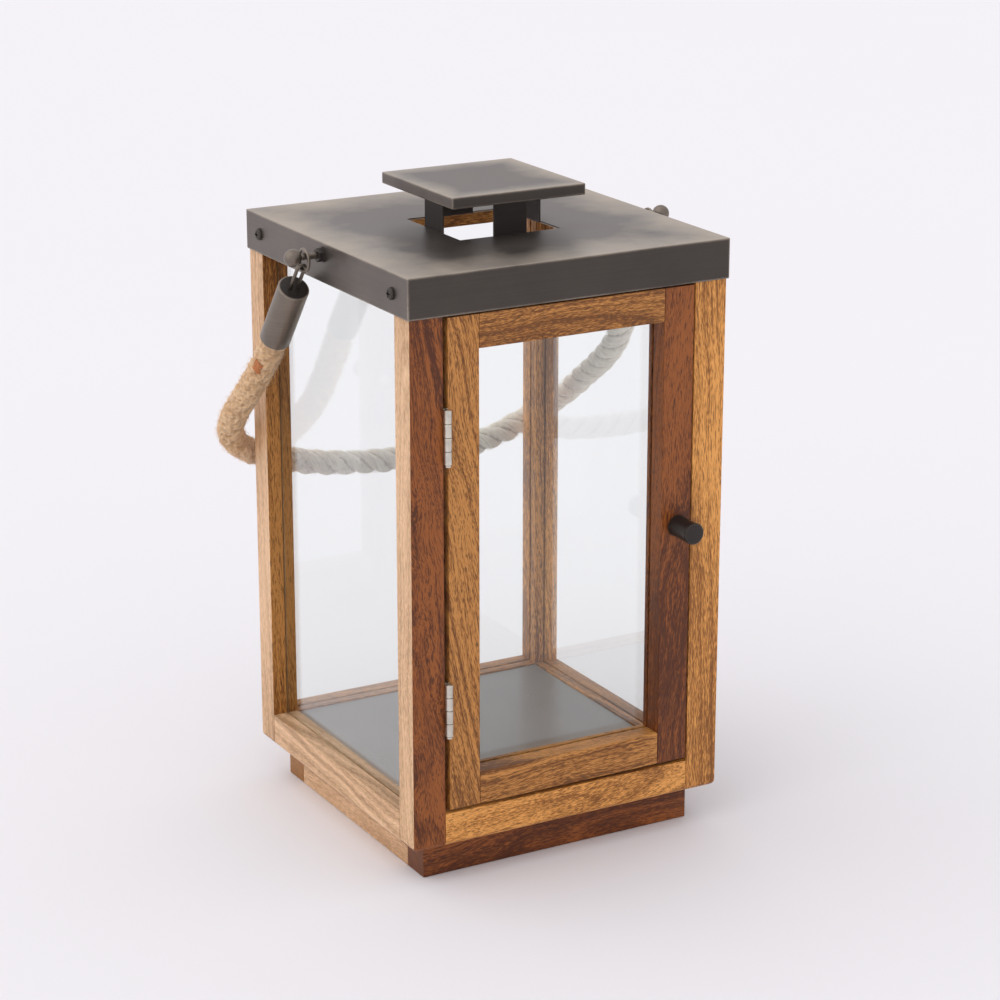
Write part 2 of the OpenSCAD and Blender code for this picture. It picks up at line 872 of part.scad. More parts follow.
hinge_leaf(hinge_high_z, 1, 0);  // hinge_door_leaf_top
hinge_leaf(hinge_low_z, 1, 0);  // hinge_door_leaf_bottom
hinge_screws(1);  // hinge_door_screws
knob();
knob_screw();
catch_plate();
ring(-1, lean_left);  // ring_left
ring(1, lean_right);  // ring_right
cap_eye(-1, lean_left);  // cap_eye_left
cap_eye(1, lean_right);  // cap_eye_right
end_cap(-1, lean_left);  // end_cap_left
end_cap(1, lean_right);  // end_cap_right
handle_rope();
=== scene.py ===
"""A wood and metal candle lantern: oiled frame and door, panes, a lacquered metal cap and a jute rope handle.

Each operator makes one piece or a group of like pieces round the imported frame. The last one makes the stage.
"""

import json
import random
from math import asin, cos, pi, radians, sin, tau

import bmesh
import bpy
import numpy as np
from bpy.props import FloatProperty, IntProperty, PointerProperty, StringProperty
from bpy.types import Node, NodeSocket, Operator, Panel, PropertyGroup
from mathutils import Matrix, Vector, noise


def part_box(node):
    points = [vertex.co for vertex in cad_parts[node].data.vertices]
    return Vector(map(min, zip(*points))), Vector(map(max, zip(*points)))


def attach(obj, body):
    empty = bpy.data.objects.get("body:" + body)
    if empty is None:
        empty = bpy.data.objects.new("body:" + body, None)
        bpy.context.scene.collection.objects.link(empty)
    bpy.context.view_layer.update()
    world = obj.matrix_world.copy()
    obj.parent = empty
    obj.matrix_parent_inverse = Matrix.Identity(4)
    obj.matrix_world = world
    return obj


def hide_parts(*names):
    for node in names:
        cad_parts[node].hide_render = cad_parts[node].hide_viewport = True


bl_info = {
    "name": "Lantern looks",
    "version": (1, 0, 0),
    "blender": (4, 5, 0),
    "location": "3D View > Sidebar > Lantern",
    "description": "Makes the wood, metal, glass and rope of a square lantern round its packed frame",
    "category": "Object",
}

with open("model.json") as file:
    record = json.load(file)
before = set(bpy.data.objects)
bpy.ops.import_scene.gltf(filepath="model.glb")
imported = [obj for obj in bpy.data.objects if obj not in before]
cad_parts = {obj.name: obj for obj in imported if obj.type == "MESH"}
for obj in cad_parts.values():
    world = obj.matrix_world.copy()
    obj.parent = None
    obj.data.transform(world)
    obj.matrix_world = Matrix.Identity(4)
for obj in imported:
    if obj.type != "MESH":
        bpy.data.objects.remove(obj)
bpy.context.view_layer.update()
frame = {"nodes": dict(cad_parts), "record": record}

MM = 0.001
PANES = ("glass_left", "glass_right", "glass_back", "door_glass")
GROOVE_PLAY = 0.1 * MM
# More than a pane's thickness and less than its width
THINNEST = 3 * MM
# Thickness of the cap's sheet
SHEET = 1.2 * MM
X, Y, Z = 0, 1, 2


# ---- settings ----


def colour_setting(name, description, default):
    """A colour of the pieces, as an sRGB hex."""
    return StringProperty(name=name, description=description + ", as an sRGB hex", default=default)


def length_setting(name, description, default):
    """A length of the pieces, in metres."""
    return FloatProperty(name=name, description=description, default=default, unit="LENGTH")


class LanternWood(PropertyGroup):
    """Sizes and colours of the wooden members."""

    arris: length_setting("Arris", "Width of the sanded arris on every edge of a board", 0.55 * MM)
    foot: length_setting("Foot rounding", "Radius of the outer bottom edge of the frame", 3.6 * MM)
    dark: colour_setting("Dark board", "Middle tone of the reddish heartwood boards", "#814519")
    brown: colour_setting("Brown board", "Middle tone of the brown boards", "#aa7035")
    golden: colour_setting("Golden board", "Middle tone of the golden boards", "#ca8943")
    pale: colour_setting("Pale board", "Middle tone of the pale sapwood boards", "#cfa67e")


class LanternMetal(PropertyGroup):
    """Sizes and colours of the metal pieces."""

    fold: length_setting("Fold radius", "Outer radius where the cap's sheet is folded", 0.9 * MM)
    lacquer: colour_setting("Rubbed lacquer", "Colour of the cap's rubbed bronze lacquer", "#6d655f")
    rubbed: colour_setting("Rubbed edge", "Colour where the lacquer is rubbed thin on an edge", "#b5a898")
    black: colour_setting("Black lacquer", "Colour of the near-black lacquered pieces", "#3a3532")
    plated: colour_setting("Antique plating", "Colour of the plated handle fittings", "#7b7167")
    zinc: colour_setting("Zinc plating", "Colour of the hinges and screws", "#d8d2c6")
    paint: colour_setting("Floor paint", "Colour of the painted floor plate", "#86827f")


class LanternRope(PropertyGroup):
    """Sizes and colours of the rope handle."""

    diameter: length_setting("Diameter", "Outer diameter of the rope", 16 * MM)
    lay: length_setting("Lay", "Length in which a strand goes once round the rope", 40 * MM)
    grip: length_setting("Grip", "Length of the rope inside each end cap", 22 * MM)
    fibres: IntProperty(
        name="Fibres", description="Number of loose fibres that stand off the rope", default=9000, min=0
    )
    fibre: length_setting("Fibre length", "Longest loose fibre", 6.5 * MM)
    # Partly the rope's own paler colour, partly painted haze of the glass it is seen through
    pale_hazed_jute: colour_setting("Bleached jute", "Colour of the rope away from its matted end", "#f8efe0")
    thread: colour_setting("Thread", "Colour of the thread in the matted end", "#c0763f")
    jute: colour_setting("Jute", "Colour of the jute", "#e0bb90")


class LanternStage(PropertyGroup):
    """Camera, lamps and floor."""

    azimuth: FloatProperty(
        name="Azimuth", description="Direction of the camera round the lantern",
        default=radians(-29.32), subtype="ANGLE",
    )
    elevation: FloatProperty(
        name="Elevation", description="Height of the camera above the horizon",
        default=radians(17.67), subtype="ANGLE",
    )
    distance: length_setting("Distance", "Distance from the camera to what it looks at", 1.779)
    lens: FloatProperty(name="Lens", description="Focal length of the camera, in millimetres", default=105.1)
    sweep: colour_setting("Paper", "Colour of the paper that the lantern stands on", "#efedef")
    dome: FloatProperty(name="Dome", description="Strength of the light from all round", default=0.903)
    window: FloatProperty(
        name="Window", description="How much brighter the surroundings are towards the window", default=0.29
    )
    key: FloatProperty(name="Key", description="Strength of the soft key light", default=0.4)


# ---- shared helpers ----


def linear(hex_colour, alpha=1.0):
    """An sRGB hex colour as linear red, green, blue and alpha."""
    parts = [int(hex_colour[i : i + 2], 16) / 255 for i in (1, 3, 5)]
    return tuple(c / 12.92 if c <= 0.04045 else ((c + 0.055) / 1.055) ** 2.4 for c in parts) + (alpha,)


def shade(hex_colour, times):
    """The linear colour of hex_colour, made lighter or darker."""
    return tint(hex_colour, times, times, times)


def add(tree, kind, sockets=None, stops=(), **settings):
    """Adds a node, sets its properties, plugs its inputs, and sets the stops of a colour ramp."""
    made = tree.nodes.new("ShaderNode" + kind)
    for key, value in settings.items():
        setattr(made, key, value)
    for i, (position, colour) in enumerate(stops):
        ramp = made.color_ramp.elements
        stop = ramp[i] if i < 2 else ramp.new(position)
        stop.position, stop.color = position, colour
    return plug(tree, made, sockets or {})


def plug(tree, node, sockets):
    """Sets or links a node's inputs, named or numbered. A node as the value stands for its first output."""
    for key, value in sockets.items():
        if isinstance(value, Node):
            value = value.outputs[0]
        if isinstance(value, NodeSocket):
            tree.links.new(value, node.inputs[key])
        else:
            node.inputs[key].default_value = value
    return node


def stretched(tree, place, scale, detail):
    """Noise with a pattern size of its own along each axis, as repeats to the metre."""
    at = add(tree, "Mapping", {"Vector": place, "Scale": scale})
    return add(tree, "TexNoise", {"Vector": at, "Scale": 1.0, "Detail": detail})


def weighted(tree, *parts):
    """The sum of some values, each times its share."""
    total = 0.0
    for value, share in parts:
        total = add(tree, "Math", {0: value, 1: share, 2: total}, operation="MULTIPLY_ADD")
    return total


def over(tree, colour, layer, mask, share=None):
    """Lays one colour over another where the mask says so, thinned by the share."""
    if share is not None:
        mask = add(tree, "Math", {0: mask, 1: share}, operation="MULTIPLY")
    return add(tree, "Mix", {"Factor": mask, 6: colour, 7: layer}, data_type="RGBA").outputs[2]


def clouded(tree, scale, detail, darker, lighter):
    """Clouds over a piece, between two stops of a ramp: the piece's coordinates, the noise and its colour."""
    place = add(tree, "TexCoord").outputs["Object"]
    cloud = add(tree, "TexNoise", {"Vector": place, "Scale": scale, "Detail": detail})
    return place, cloud, add(tree, "ValToRGB", {"Fac": cloud}, (darker, lighter))


def tint(hex_colour, red, green, blue):
    """The linear colour of hex_colour with each channel scaled."""
    r, g, b, a = linear(hex_colour)
    return (min(r * red, 1.0), min(g * green, 1.0), min(b * blue, 1.0), a)


def new_material(name):
    """An empty material's node tree and its principled shader, already on the output."""
    made = bpy.data.materials.new(name)
    made.use_nodes = True
    tree = made.node_tree
    tree.nodes.clear()
    shader = add(tree, "BsdfPrincipled")
    add(tree, "OutputMaterial", {"Surface": shader})
    return made, tree, shader


def dress(piece, made, *nodes, stands_for=True):
    """Gives a piece its material and the body of the CAD nodes that it stands for or goes with, and hides the
    nodes that it stands for.
    """
    piece.data.materials.clear()
    piece.data.materials.append(material(made))
    groups = frame["record"]["behaviour"]["bodies"]
    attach(piece, next(body for body, members in groups.items() if nodes[0] in members))
    if stands_for:
        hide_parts(*nodes)
    return piece


def object_from(name, mesh, smooth_angle=35):
    """A mesh as an object in the scene, smooth up to an angle."""
    for polygon in mesh.polygons:
        polygon.use_smooth = True
    mesh.set_sharp_from_angle(angle=radians(smooth_angle))
    made = bpy.data.objects.new(name, mesh)
    bpy.context.scene.collection.objects.link(made)
    return made


def mesh_from(name, work):
    """A bmesh as a mesh with its faces looking outwards."""
    bmesh.ops.recalc_face_normals(work, faces=work.faces)
    mesh = bpy.data.meshes.new(name)
    work.to_mesh(mesh)
    work.free()
    return mesh


def store(mesh, name, kind, values, domain="POINT"):
    """Keeps a value for each point or face of a mesh, for its material to read."""
    key = "vector" if kind == "FLOAT_VECTOR" else "value"
    mesh.attributes.new(name, kind, domain).data.foreach_set(key, np.ravel(values))


def skin(work, rows, closed=False):
    """Faces between rings of points, with the ends filled unless they meet. A ring of one point is a pole."""
    rings = [[work.verts.new(p) for p in row] for row in rows]
    count = max(len(ring) for ring in rings)
    for low, high in list(zip(rings, rings[1:])) + [(rings[-1], rings[0])] * closed:
        for k in range(count):
            j = (k + 1) % count
            corners = [low[k % len(low)], low[j % len(low)], high[j % len(high)], high[k % len(high)]]
            corners = list(dict.fromkeys(corners))
            if len(corners) > 2:
                work.faces.new(corners)
    for ring in (rings[0], rings[-1]):
        if len(ring) > 2 and not closed:
            work.faces.new(ring)


def ease(work, edges, width, segments, clamp=False):
    """Takes the sharpness off some edges of a bmesh."""
    bmesh.ops.bevel(
        work, geom=edges, offset=width, segments=segments, affect="EDGES", profile=0.5, clamp_overlap=clamp
    )


def circle(radius, count):
    """Points round a circle, each as two distances from its centre."""
    turns = [tau * k / count for k in range(count)]
    return [(radius * cos(a), radius * sin(a)) for a in turns]


def even_normals(piece):
    """Keeps the flat faces of a bevelled piece flat in the light."""
    piece.modifiers.new("flats", "WEIGHTED_NORMAL").keep_sharp = True
    return piece


def blocks(name, places, arris, segments, smooth_angle=35):
    """Unit cubes put in their places, with their edges taken off, as one object."""
    work = bmesh.new()
    for place in places:
        bmesh.ops.create_cube(work, size=1.0, matrix=place)
    ease(work, work.edges[:], arris, segments)
    return object_from(name, mesh_from(name, work), smooth_angle)


def filling(node):
    """The matrix that makes a unit cube fill a CAD node's box."""
    low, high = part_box(node)
    return Matrix.Translation((low + high) / 2) @ Matrix.Diagonal((*(high - low), 1))


def paint_cad(nodes, made):
    """Gives CAD nodes that stay as they are a material."""
    for name in nodes:
        data = frame["nodes"][name].data
        if not data.materials:
            data.materials.append(None)
        for i in range(len(data.materials)):
            data.materials[i] = material(made)


# ---- materials ----


def oiled_wood(name, middle, contrast=1.0, swirl=1.0):
    """Oiled tropical hardwood, planed and sanded: growth bands, streaks along the grain, dark flecks and open
    pores. The oil gives a low satin sheen, and swirl says how much the grain wanders."""
    made, tree, shader = new_material(name)
    grain = add(tree, "Attribute", attribute_name="grain").outputs["Vector"]
    end = add(tree, "Attribute", attribute_name="end").outputs["Fac"]

    # The trunk wanders, so the bands wander with it: about 4 mm over 100 mm
    wander = stretched(tree, grain, (9, 26, 26), 2.0).outputs["Color"]
    reach = 0.014 * swirl
    off = add(tree, "VectorMath", {0: wander, 1: (0.5, 0.5, 0.5)}, operation="SUBTRACT")
    off = add(tree, "VectorMath", {0: off, 1: (0, reach, reach)}, operation="MULTIPLY")
    moved = add(tree, "VectorMath", {0: grain, 1: off}, operation="ADD")
    across = add(tree, "VectorMath", {0: moved, 1: (0, 1, 1)}, operation="MULTIPLY")
    ring = add(tree, "VectorMath", {0: across}, operation="LENGTH").outputs["Value"]

    # Growth bands, 2 to 6 mm wide, round the heart of the trunk
    ring_at = add(tree, "Math", {0: ring, 1: 330.0}, operation="MULTIPLY")
    bands = add(tree, "TexNoise", {"W": ring_at, "Scale": 1.0, "Detail": 3.0}, noise_dimensions="1D")
    # Broad patches of heartwood and sapwood, 40 mm across and 200 mm long
    patch = stretched(tree, moved, (5, 30, 30), 3.0)
    # Streaks half a millimetre wide and 30 mm long
    streak = stretched(tree, moved, (34, 1400, 1400), 3.0)
    # Flecks half a millimetre wide and 4 mm long
    fleck = stretched(tree, moved, (240, 1900, 1900), 2.0)
    # Open pores 0.4 mm wide, a little coarser than real ones so that they show, 3 to 8 mm long
    pore = stretched(tree, moved, (150, 1500, 1500), 1.0)
    pores = add(tree, "MapRange", {"Value": pore, "From Min": 0.58, "From Max": 0.66})

    mixed = weighted(tree, (bands, 0.5), (patch, 0.7), (streak, 0.35), (fleck, 0.65))
    usual, spread = 1.1, 0.135 / contrast
    tone = add(tree, "MapRange", {"Value": mixed, "From Min": usual - spread, "From Max": usual + spread})
    ends = (0.0, tint(middle, 0.4, 0.33, 0.28)), (1.0, tint(middle, 1.42, 1.54, 1.74))
    between = (0.35, tint(middle, 0.77, 0.72, 0.65)), (0.6, tint(middle, 1.08, 1.1, 1.12))
    colour = add(tree, "ValToRGB", {"Fac": tone}, (*ends, *between))
    colour = over(tree, colour, shade(middle, 0.32), pores, min(0.72 * contrast, 0.8))
    # End grain drinks the oil and goes darker
    colour = over(tree, colour, shade(middle, 0.42), end, 0.55)

    soft = {"Value": streak, "From Min": 0.3, "From Max": 0.7, "To Min": 0.36, "To Max": 0.5}
    relief = weighted(tree, (streak, 0.3), (pores, -1.0))
    bump = add(tree, "Bump", {"Height": relief, "Strength": 0.35, "Distance": 0.15 * MM})
    plug(tree, shader, {"Base Color": colour, "Roughness": add(tree, "MapRange", soft), "Normal": bump})
    plug(tree, shader, {"IOR": 1.5, "Specular IOR Level": 0.36})
    return made


def rubbed_lacquer(name, base, edge, roughness, wear=0.6, metallic=0.85, rim=None):
    """Steel sheet with a bronze lacquer rubbed by hand: clouds 20 to 60 mm across, fine level rubbing lines,
    and a thinner coat on the edges. With a rim, the front and back faces get painted shade, and the top goes
    over to the edge colour that far from the middle of a square."""
    made, tree, shader = new_material(name)
    place = add(tree, "TexCoord").outputs["Object"]
    cloud = add(tree, "TexNoise", {"Vector": place, "Scale": 22.0, "Detail": 5.0, "Roughness": 0.6})
    # Rubbing lines run level: fine up and down, long sideways
    lines = stretched(tree, place, (14, 14, 2600), 3.0)
    grit = add(tree, "TexNoise", {"Vector": place, "Scale": 1500.0, "Detail": 2.0})
    mixed = weighted(tree, (cloud, 0.6), (lines, 0.3), (grit, 0.1))
    coat = add(tree, "ValToRGB", {"Fac": mixed}, ((0.34, shade(base, 0.72)), (0.68, shade(base, 1.3))))
    true = add(tree, "NewGeometry")
    if rim:
        # Painted shade: the front and back skirts are darkened, as the front one is turned from the window
        facing = add(tree, "SeparateXYZ", {0: true.outputs["True Normal"]})
        level = add(tree, "Math", {0: facing.outputs[Y]}, operation="ABSOLUTE")
        thick = add(tree, "MapRange", {"Value": level, "From Min": 0.4, "From Max": 0.9, "To Max": 0.72})
        coat = over(tree, coat, shade(base, 0.3), thick)
    # The rounded normal differs from the true one only near an edge
    rounded = add(tree, "Bevel", {"Radius": 1.7 * MM}, samples=4)
    alike = add(tree, "VectorMath", {0: rounded, 1: true.outputs["Normal"]}, operation="DOT_PRODUCT")
    near = {"Value": alike.outputs["Value"], "From Min": 0.998, "From Max": 0.9, "To Max": wear}
    rubbing = add(tree, "MapRange", {"Value": cloud, "From Min": 0.3, "From Max": 0.55})
    coat = over(tree, coat, linear(edge), add(tree, "MapRange", near), rubbing)
    if rim:
        # The top goes over to the edge colour towards its rim
        split = add(tree, "SeparateXYZ", {0: place})
        x_off, y_off = (add(tree, "Math", {0: split.outputs[k]}, operation="ABSOLUTE") for k in (X, Y))
        far = add(tree, "Math", {0: x_off, 1: y_off}, operation="MAXIMUM")
        uneven = weighted(tree, (cloud, rim * 0.7), (far, 1.0))
        thin = {"Value": uneven, "From Min": rim * 0.98, "From Max": rim * 1.38, "To Max": 0.95}
        coat = over(tree, coat, linear(edge), add(tree, "MapRange", thin), facing.outputs[Z])
    dull = {"From Min": 0.3, "From Max": 0.7, "To Min": roughness - 0.08, "To Max": roughness + 0.1}
    dull = add(tree, "MapRange", {"Value": mixed, **dull})
    bump = add(tree, "Bump", {"Height": lines, "Strength": 0.12, "Distance": 0.05 * MM})
    plug(tree, shader, {"Base Color": coat, "Metallic": metallic, "Roughness": dull, "Normal": bump})
    return made


def zinc_plate(name, base):
    """Bright zinc plating on pressed steel: a soft silver with faint yellow clouds and dull spots."""
    made, tree, shader = new_material(name)
    _, cloud, coat = clouded(tree, 160.0, 4.0, (0.35, shade(base, 0.8)), (0.7, shade(base, 1.1)))
    dull = add(tree, "MapRange", {"Value": cloud, "To Min": 0.24, "To Max": 0.46})
    plug(tree, shader, {"Base Color": coat, "Metallic": 1.0, "Roughness": dull})
    return made


def painted_plate(name, base):
    """Satin paint on sheet steel: an even grey with faint orange peel and a few pale specks of dust."""
    made, tree, shader = new_material(name)
    place, _, paint = clouded(tree, 18.0, 4.0, (0.0, shade(base, 0.86)), (1.0, shade(base, 1.12)))
    # Specks 0.8 mm across, some 60 mm apart
    spots = add(tree, "TexVoronoi", {"Vector": place, "Scale": 16.0}, voronoi_dimensions="2D")
    speck = add(tree, "MapRange", {"Value": spots, "From Min": 0.009, "From Max": 0.005})
    peel = add(tree, "TexNoise", {"Vector": place, "Scale": 700.0, "Detail": 1.0})
    bump = add(tree, "Bump", {"Height": peel, "Strength": 0.08, "Distance": 0.05 * MM})
    plug(tree, shader, {"Base Color": over(tree, paint, linear("#d9d9d9"), speck), "Normal": bump})
    plug(tree, shader, {"Roughness": 0.34, "IOR": 1.5})
    return made


def float_glass(name):
    """Clear float glass, 2 mm: a hard, smooth surface with a breath of green, and lamps shine through it."""
    made, tree, shader = new_material(name)
    plug(tree, shader, {"Base Color": linear("#fdfffe"), "Transmission Weight": 1.0})
    plug(tree, shader, {"Roughness": 0.0, "IOR": 1.5})
    shadow = add(tree, "LightPath").outputs["Is Shadow Ray"]
    clear = add(tree, "BsdfTransparent", {"Color": linear("#fbfdfc")})
    both = add(tree, "MixShader", {0: shadow, 1: shader, 2: clear})
    plug(tree, next(n for n in tree.nodes if n.type == "OUTPUT_MATERIAL"), {"Surface": both})
    return made


def twisted_jute(name, base, pale_hazed_jute, hairy=False):
    """Jute yarn, spun and laid: tan, paler past its matted end, partly its own colour and partly painted haze
    of the glass it is seen through, with darker fibres along each yarn and brown shadows in the lay."""
    made, tree, shader = new_material(name)
    lay = add(tree, "Attribute", attribute_name="lay").outputs["Vector"]
    depth, hazed_past_mat = (add(tree, "Attribute", attribute_name=n).outputs["Fac"] for n in ("depth", "hazed_past_mat"))
    # Fibres 0.3 mm wide and 6 mm long, coarser than real ones so that they show
    fibre = stretched(tree, lay, (180, 2600, 1000), 3.0)
    clump = stretched(tree, lay, (50, 420, 1000), 2.0)
    mixed = weighted(tree, (fibre, 0.6), (clump, 0.4))
    tones = (0.3, (0.5, 0.42, 0.36, 1)), (0.68, (1.15, 1.15, 1.15, 1)), (0.48, (0.97, 0.97, 0.97, 1))
    spun = add(tree, "ValToRGB", {"Fac": mixed}, tones)
    # Past the matted end the jute goes paler: partly its own colour, partly painted haze of the glass
    body = over(tree, linear(base), linear(pale_hazed_jute), hazed_past_mat)
    body = add(tree, "Mix", {"Factor": 1.0, 6: body, 7: spun}, data_type="RGBA", blend_type="MULTIPLY")
    shadowed = over(tree, body.outputs[2], shade(base, 0.36), depth)
    plug(tree, shader, {"Base Color": shadowed, "Roughness": 0.85})
    plug(tree, shader, {"Sheen Weight": 0.35, "Sheen Roughness": 0.5, "Specular IOR Level": 0.25})
    if not hairy:
        bump = add(tree, "Bump", {"Height": mixed, "Strength": 0.8, "Distance": 0.5 * MM})
        plug(tree, shader, {"Normal": bump})
    return made


def waxed_thread(name, base):
    """Waxed cotton thread: rust brown, with a low gloss and a faint twist."""
    made, tree, shader = new_material(name)
    _, _, colour = clouded(tree, 1600.0, 2.0, (0.0, shade(base, 0.6)), (1.0, shade(base, 1.3)))
    plug(tree, shader, {"Base Color": colour, "Roughness": 0.5})
    return made


def paper_sweep(name, base):
    """Matt paper from a wide roll: nearly white, with the faintest clouding."""
    made, tree, shader = new_material(name)
    _, _, colour = clouded(tree, 1.2, 2.0, (0.0, shade(base, 0.985)), (1.0, shade(base, 1.0)))
    plug(tree, shader, {"Base Color": colour, "Roughness": 0.9, "Specular IOR Level": 0.2})
    return made


_made = {}


def material(name):
    """The named material, made when it is first asked for."""
    scene = bpy.context.scene
    wood, metal, rope = scene.lantern_wood, scene.lantern_metal, scene.lantern_rope
    cap_half, finial_half = 105 * MM, 44 * MM
    makers = {
        "oiled_heartwood": (oiled_wood, wood.dark, 1.15, 1.4),
        "swirled_heartwood": (oiled_wood, wood.dark, 1.2, 2.6),
        "oiled_brown_wood": (oiled_wood, wood.brown, 1.1),
        "oiled_golden_wood": (oiled_wood, wood.golden, 1.0),
        "oiled_sapwood": (oiled_wood, wood.pale, 0.42),
        "rubbed_bronze_lacquer_shaded_sides": (rubbed_lacquer, metal.lacquer, metal.rubbed, 0.4, 0.9, 0.85, cap_half),
        "rubbed_thin_lacquer_shaded_sides": (rubbed_lacquer, metal.lacquer, metal.rubbed, 0.4, 0.9, 0.85, finial_half),
        "black_lacquer": (rubbed_lacquer, metal.black, metal.plated, 0.42, 0.4, 0.7),
        "antique_plating": (rubbed_lacquer, metal.plated, metal.rubbed, 0.36, 0.5, 0.95),
        "zinc_plate": (zinc_plate, metal.zinc),
        "satin_painted_steel": (painted_plate, metal.paint),
        "float_glass": (float_glass,),
        "twisted_jute": (twisted_jute, rope.jute, rope.pale_hazed_jute),
        "loose_jute": (twisted_jute, rope.jute, rope.pale_hazed_jute, True),
        "waxed_thread": (waxed_thread, rope.thread),
        "paper_sweep": (paper_sweep, scene.lantern_stage.sweep),
    }
    if name not in _made:
        maker, *looks = makers[name]
        _made[name] = maker(name, *looks)
    return _made[name]


# ---- wood ----


def section_of(node, along):
    """The cross-section of a member as a closed outline: a rectangle with a notch for each pane's groove."""
    low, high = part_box(node)
    u, v = [a for a in (X, Y, Z) if a != along]
    u0, u1, v0, v1 = low[u], high[u], low[v], high[v]
    # The outline runs along the low side of v, the high side of u, the high side of v and the low side of u
    notches = [[], [], [], []]
    for pane in PANES:
        p_low, p_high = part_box(pane)
        if p_high[along] - p_low[along] < THINNEST:
            continue
        if any(min(high[a], p_high[a]) - max(low[a], p_low[a]) < MM for a in (X, Y, Z)):
            continue
        grow = [GROOVE_PLAY if p_high[a] - p_low[a] < THINNEST else 0.0 for a in (X, Y, Z)]
        a0, a1 = p_low[u] - grow[u], p_high[u] + grow[u]
        b0, b1 = p_low[v] - grow[v], p_high[v] + grow[v]
        if grow[u]:
            first = b0 <= v0
            face, deep = (v0, b1) if first else (v1, b0)
            notch = [(a0, face), (a0, deep), (a1, deep), (a1, face)]
            notches[0 if first else 2] += notch if first else notch[::-1]
        else:
            last = a0 <= u0
            face, deep = (u0, a1) if last else (u1, a0)
            notch = [(face, b0), (deep, b0), (deep, b1), (face, b1)]
            notches[3 if last else 1] += notch[::-1] if last else notch
    outline = []
    for corner, notch in zip(((u0, v0), (u1, v0), (u1, v1), (u0, v1)), notches):
        outline += [corner, *notch]
    return outline


def board(node, along, wood, seed, rounded_foot=False, slope=0.04, painted_lit_side=False):
    """A planed board in place of a CAD member, with its pane grooves. The grain runs along one axis, and it
    drifts across the board by slope. With a painted lit side, the board's left face, which faces the window,
    gets the paler sapwood as painted light."""
    settings = bpy.context.scene.lantern_wood
    low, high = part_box(node)
    u, v = [a for a in (X, Y, Z) if a != along]
    section = section_of(node, along)
    rows = np.zeros((2, len(section), 3))
    rows[:, :, [u, v]] = section
    rows[0, :, along], rows[1, :, along] = low[along], high[along]
    work = bmesh.new()
    skin(work, rows)
    bmesh.ops.recalc_face_normals(work, faces=work.faces)
    if rounded_foot:
        outer = max(abs(c) for c in (*low[:2], *high[:2]))
        feet = [
            e for e in work.edges
            if all(abs(w.co.z - low.z) < 1e-6 for w in e.verts)
            and any(all(abs(abs(w.co[a]) - outer) < 1e-5 for w in e.verts) for a in (X, Y))
        ]
        ease(work, feet, settings.foot, 5)
    sharp = [e for e in work.edges if len(e.link_faces) == 2 and e.calc_face_angle(0) > radians(40)]
    ease(work, sharp, settings.arris, 2, True)
    mesh = mesh_from(node + "_board", work)

    # Each board is cut at its own distance from the heart of its trunk
    chance = random.Random(seed)
    turn = chance.uniform(0, tau)
    heart = (cos(turn) * chance.uniform(14, 46) * MM, sin(turn) * chance.uniform(14, 46) * MM)
    start = chance.uniform(-2, 2)
    middle = (low + high) / 2
    store(mesh, "grain", "FLOAT_VECTOR", [
        (
            w.co[along] + start,
            w.co[u] - middle[u] + heart[0] + slope * w.co[along],
            w.co[v] - middle[v] + heart[1] - 0.5 * slope * w.co[along],
        )
        for w in mesh.vertices
    ])
    store(mesh, "end", "FLOAT", [float(abs(p.normal[along]) > 0.9) for p in mesh.polygons], "FACE")
    piece = even_normals(object_from(node + "_board", mesh))
    dress(piece, wood, node)
    # Painted light: the left faces, turned to the window, get the paler sapwood
    if painted_lit_side:
        mesh.materials.append(material("oiled_sapwood"))
        for polygon in mesh.polygons:
            polygon.material_index = int(polygon.normal.x < -0.9)
    return piece


class LANTERN_OT_frame(Operator):
    """Makes the posts and rails of the frame, each a board of its own."""

    bl_idname = "lantern.frame"
    bl_label = "Posts and rails"

    def execute(self, context):
        # The two left posts get painted light: paler sapwood on their left faces
        board("post_front_left", Z, "swirled_heartwood", 3, True, 0.1, True)
        board("post_front_right", Z, "oiled_golden_wood", 8, True)
        board("post_back_left", Z, "oiled_brown_wood", 15, True, painted_lit_side=True)
        board("post_back_right", Z, "oiled_golden_wood", 22, True)
        board("rail_bottom_front", X, "oiled_golden_wood", 31, True, 0.16)
        board("rail_bottom_back", X, "oiled_brown_wood", 36, True)
        board("rail_bottom_left", Y, "oiled_sapwood", 44, True)
        board("rail_bottom_right", Y, "oiled_brown_wood", 47, True)
        board("rail_top_front", X, "oiled_brown_wood", 51)
        board("rail_top_back", X, "oiled_golden_wood", 57)
        board("rail_top_left", Y, "oiled_golden_wood", 61)
        board("rail_top_right", Y, "oiled_brown_wood", 68)
        return {"FINISHED"}


class LANTERN_OT_plinth(Operator):
    """Makes the battens of the plinth and the board under the floor plate."""

    bl_idname = "lantern.plinth"
    bl_label = "Plinth"

    def execute(self, context):
        board("plinth_front", X, "oiled_heartwood", 71)
        board("plinth_back", X, "oiled_brown_wood", 74)
        board("plinth_left", Y, "oiled_sapwood", 79)
        board("plinth_right", Y, "oiled_brown_wood", 83)
        board("floor_board", X, "oiled_sapwood", 88)
        return {"FINISHED"}


class LANTERN_OT_door(Operator):
    """Makes the stiles and rails of the door."""

    bl_idname = "lantern.door"
    bl_label = "Door"

    def execute(self, context):
        board("door_stile_left", Z, "oiled_brown_wood", 91, slope=0.2)
        board("door_stile_right", Z, "oiled_heartwood", 97, slope=-0.09)
        board("door_rail_top", X, "oiled_brown_wood", 102, slope=0.12)
        board("door_rail_bottom", X, "oiled_brown_wood", 109)
        return {"FINISHED"}


# ---- rope ----


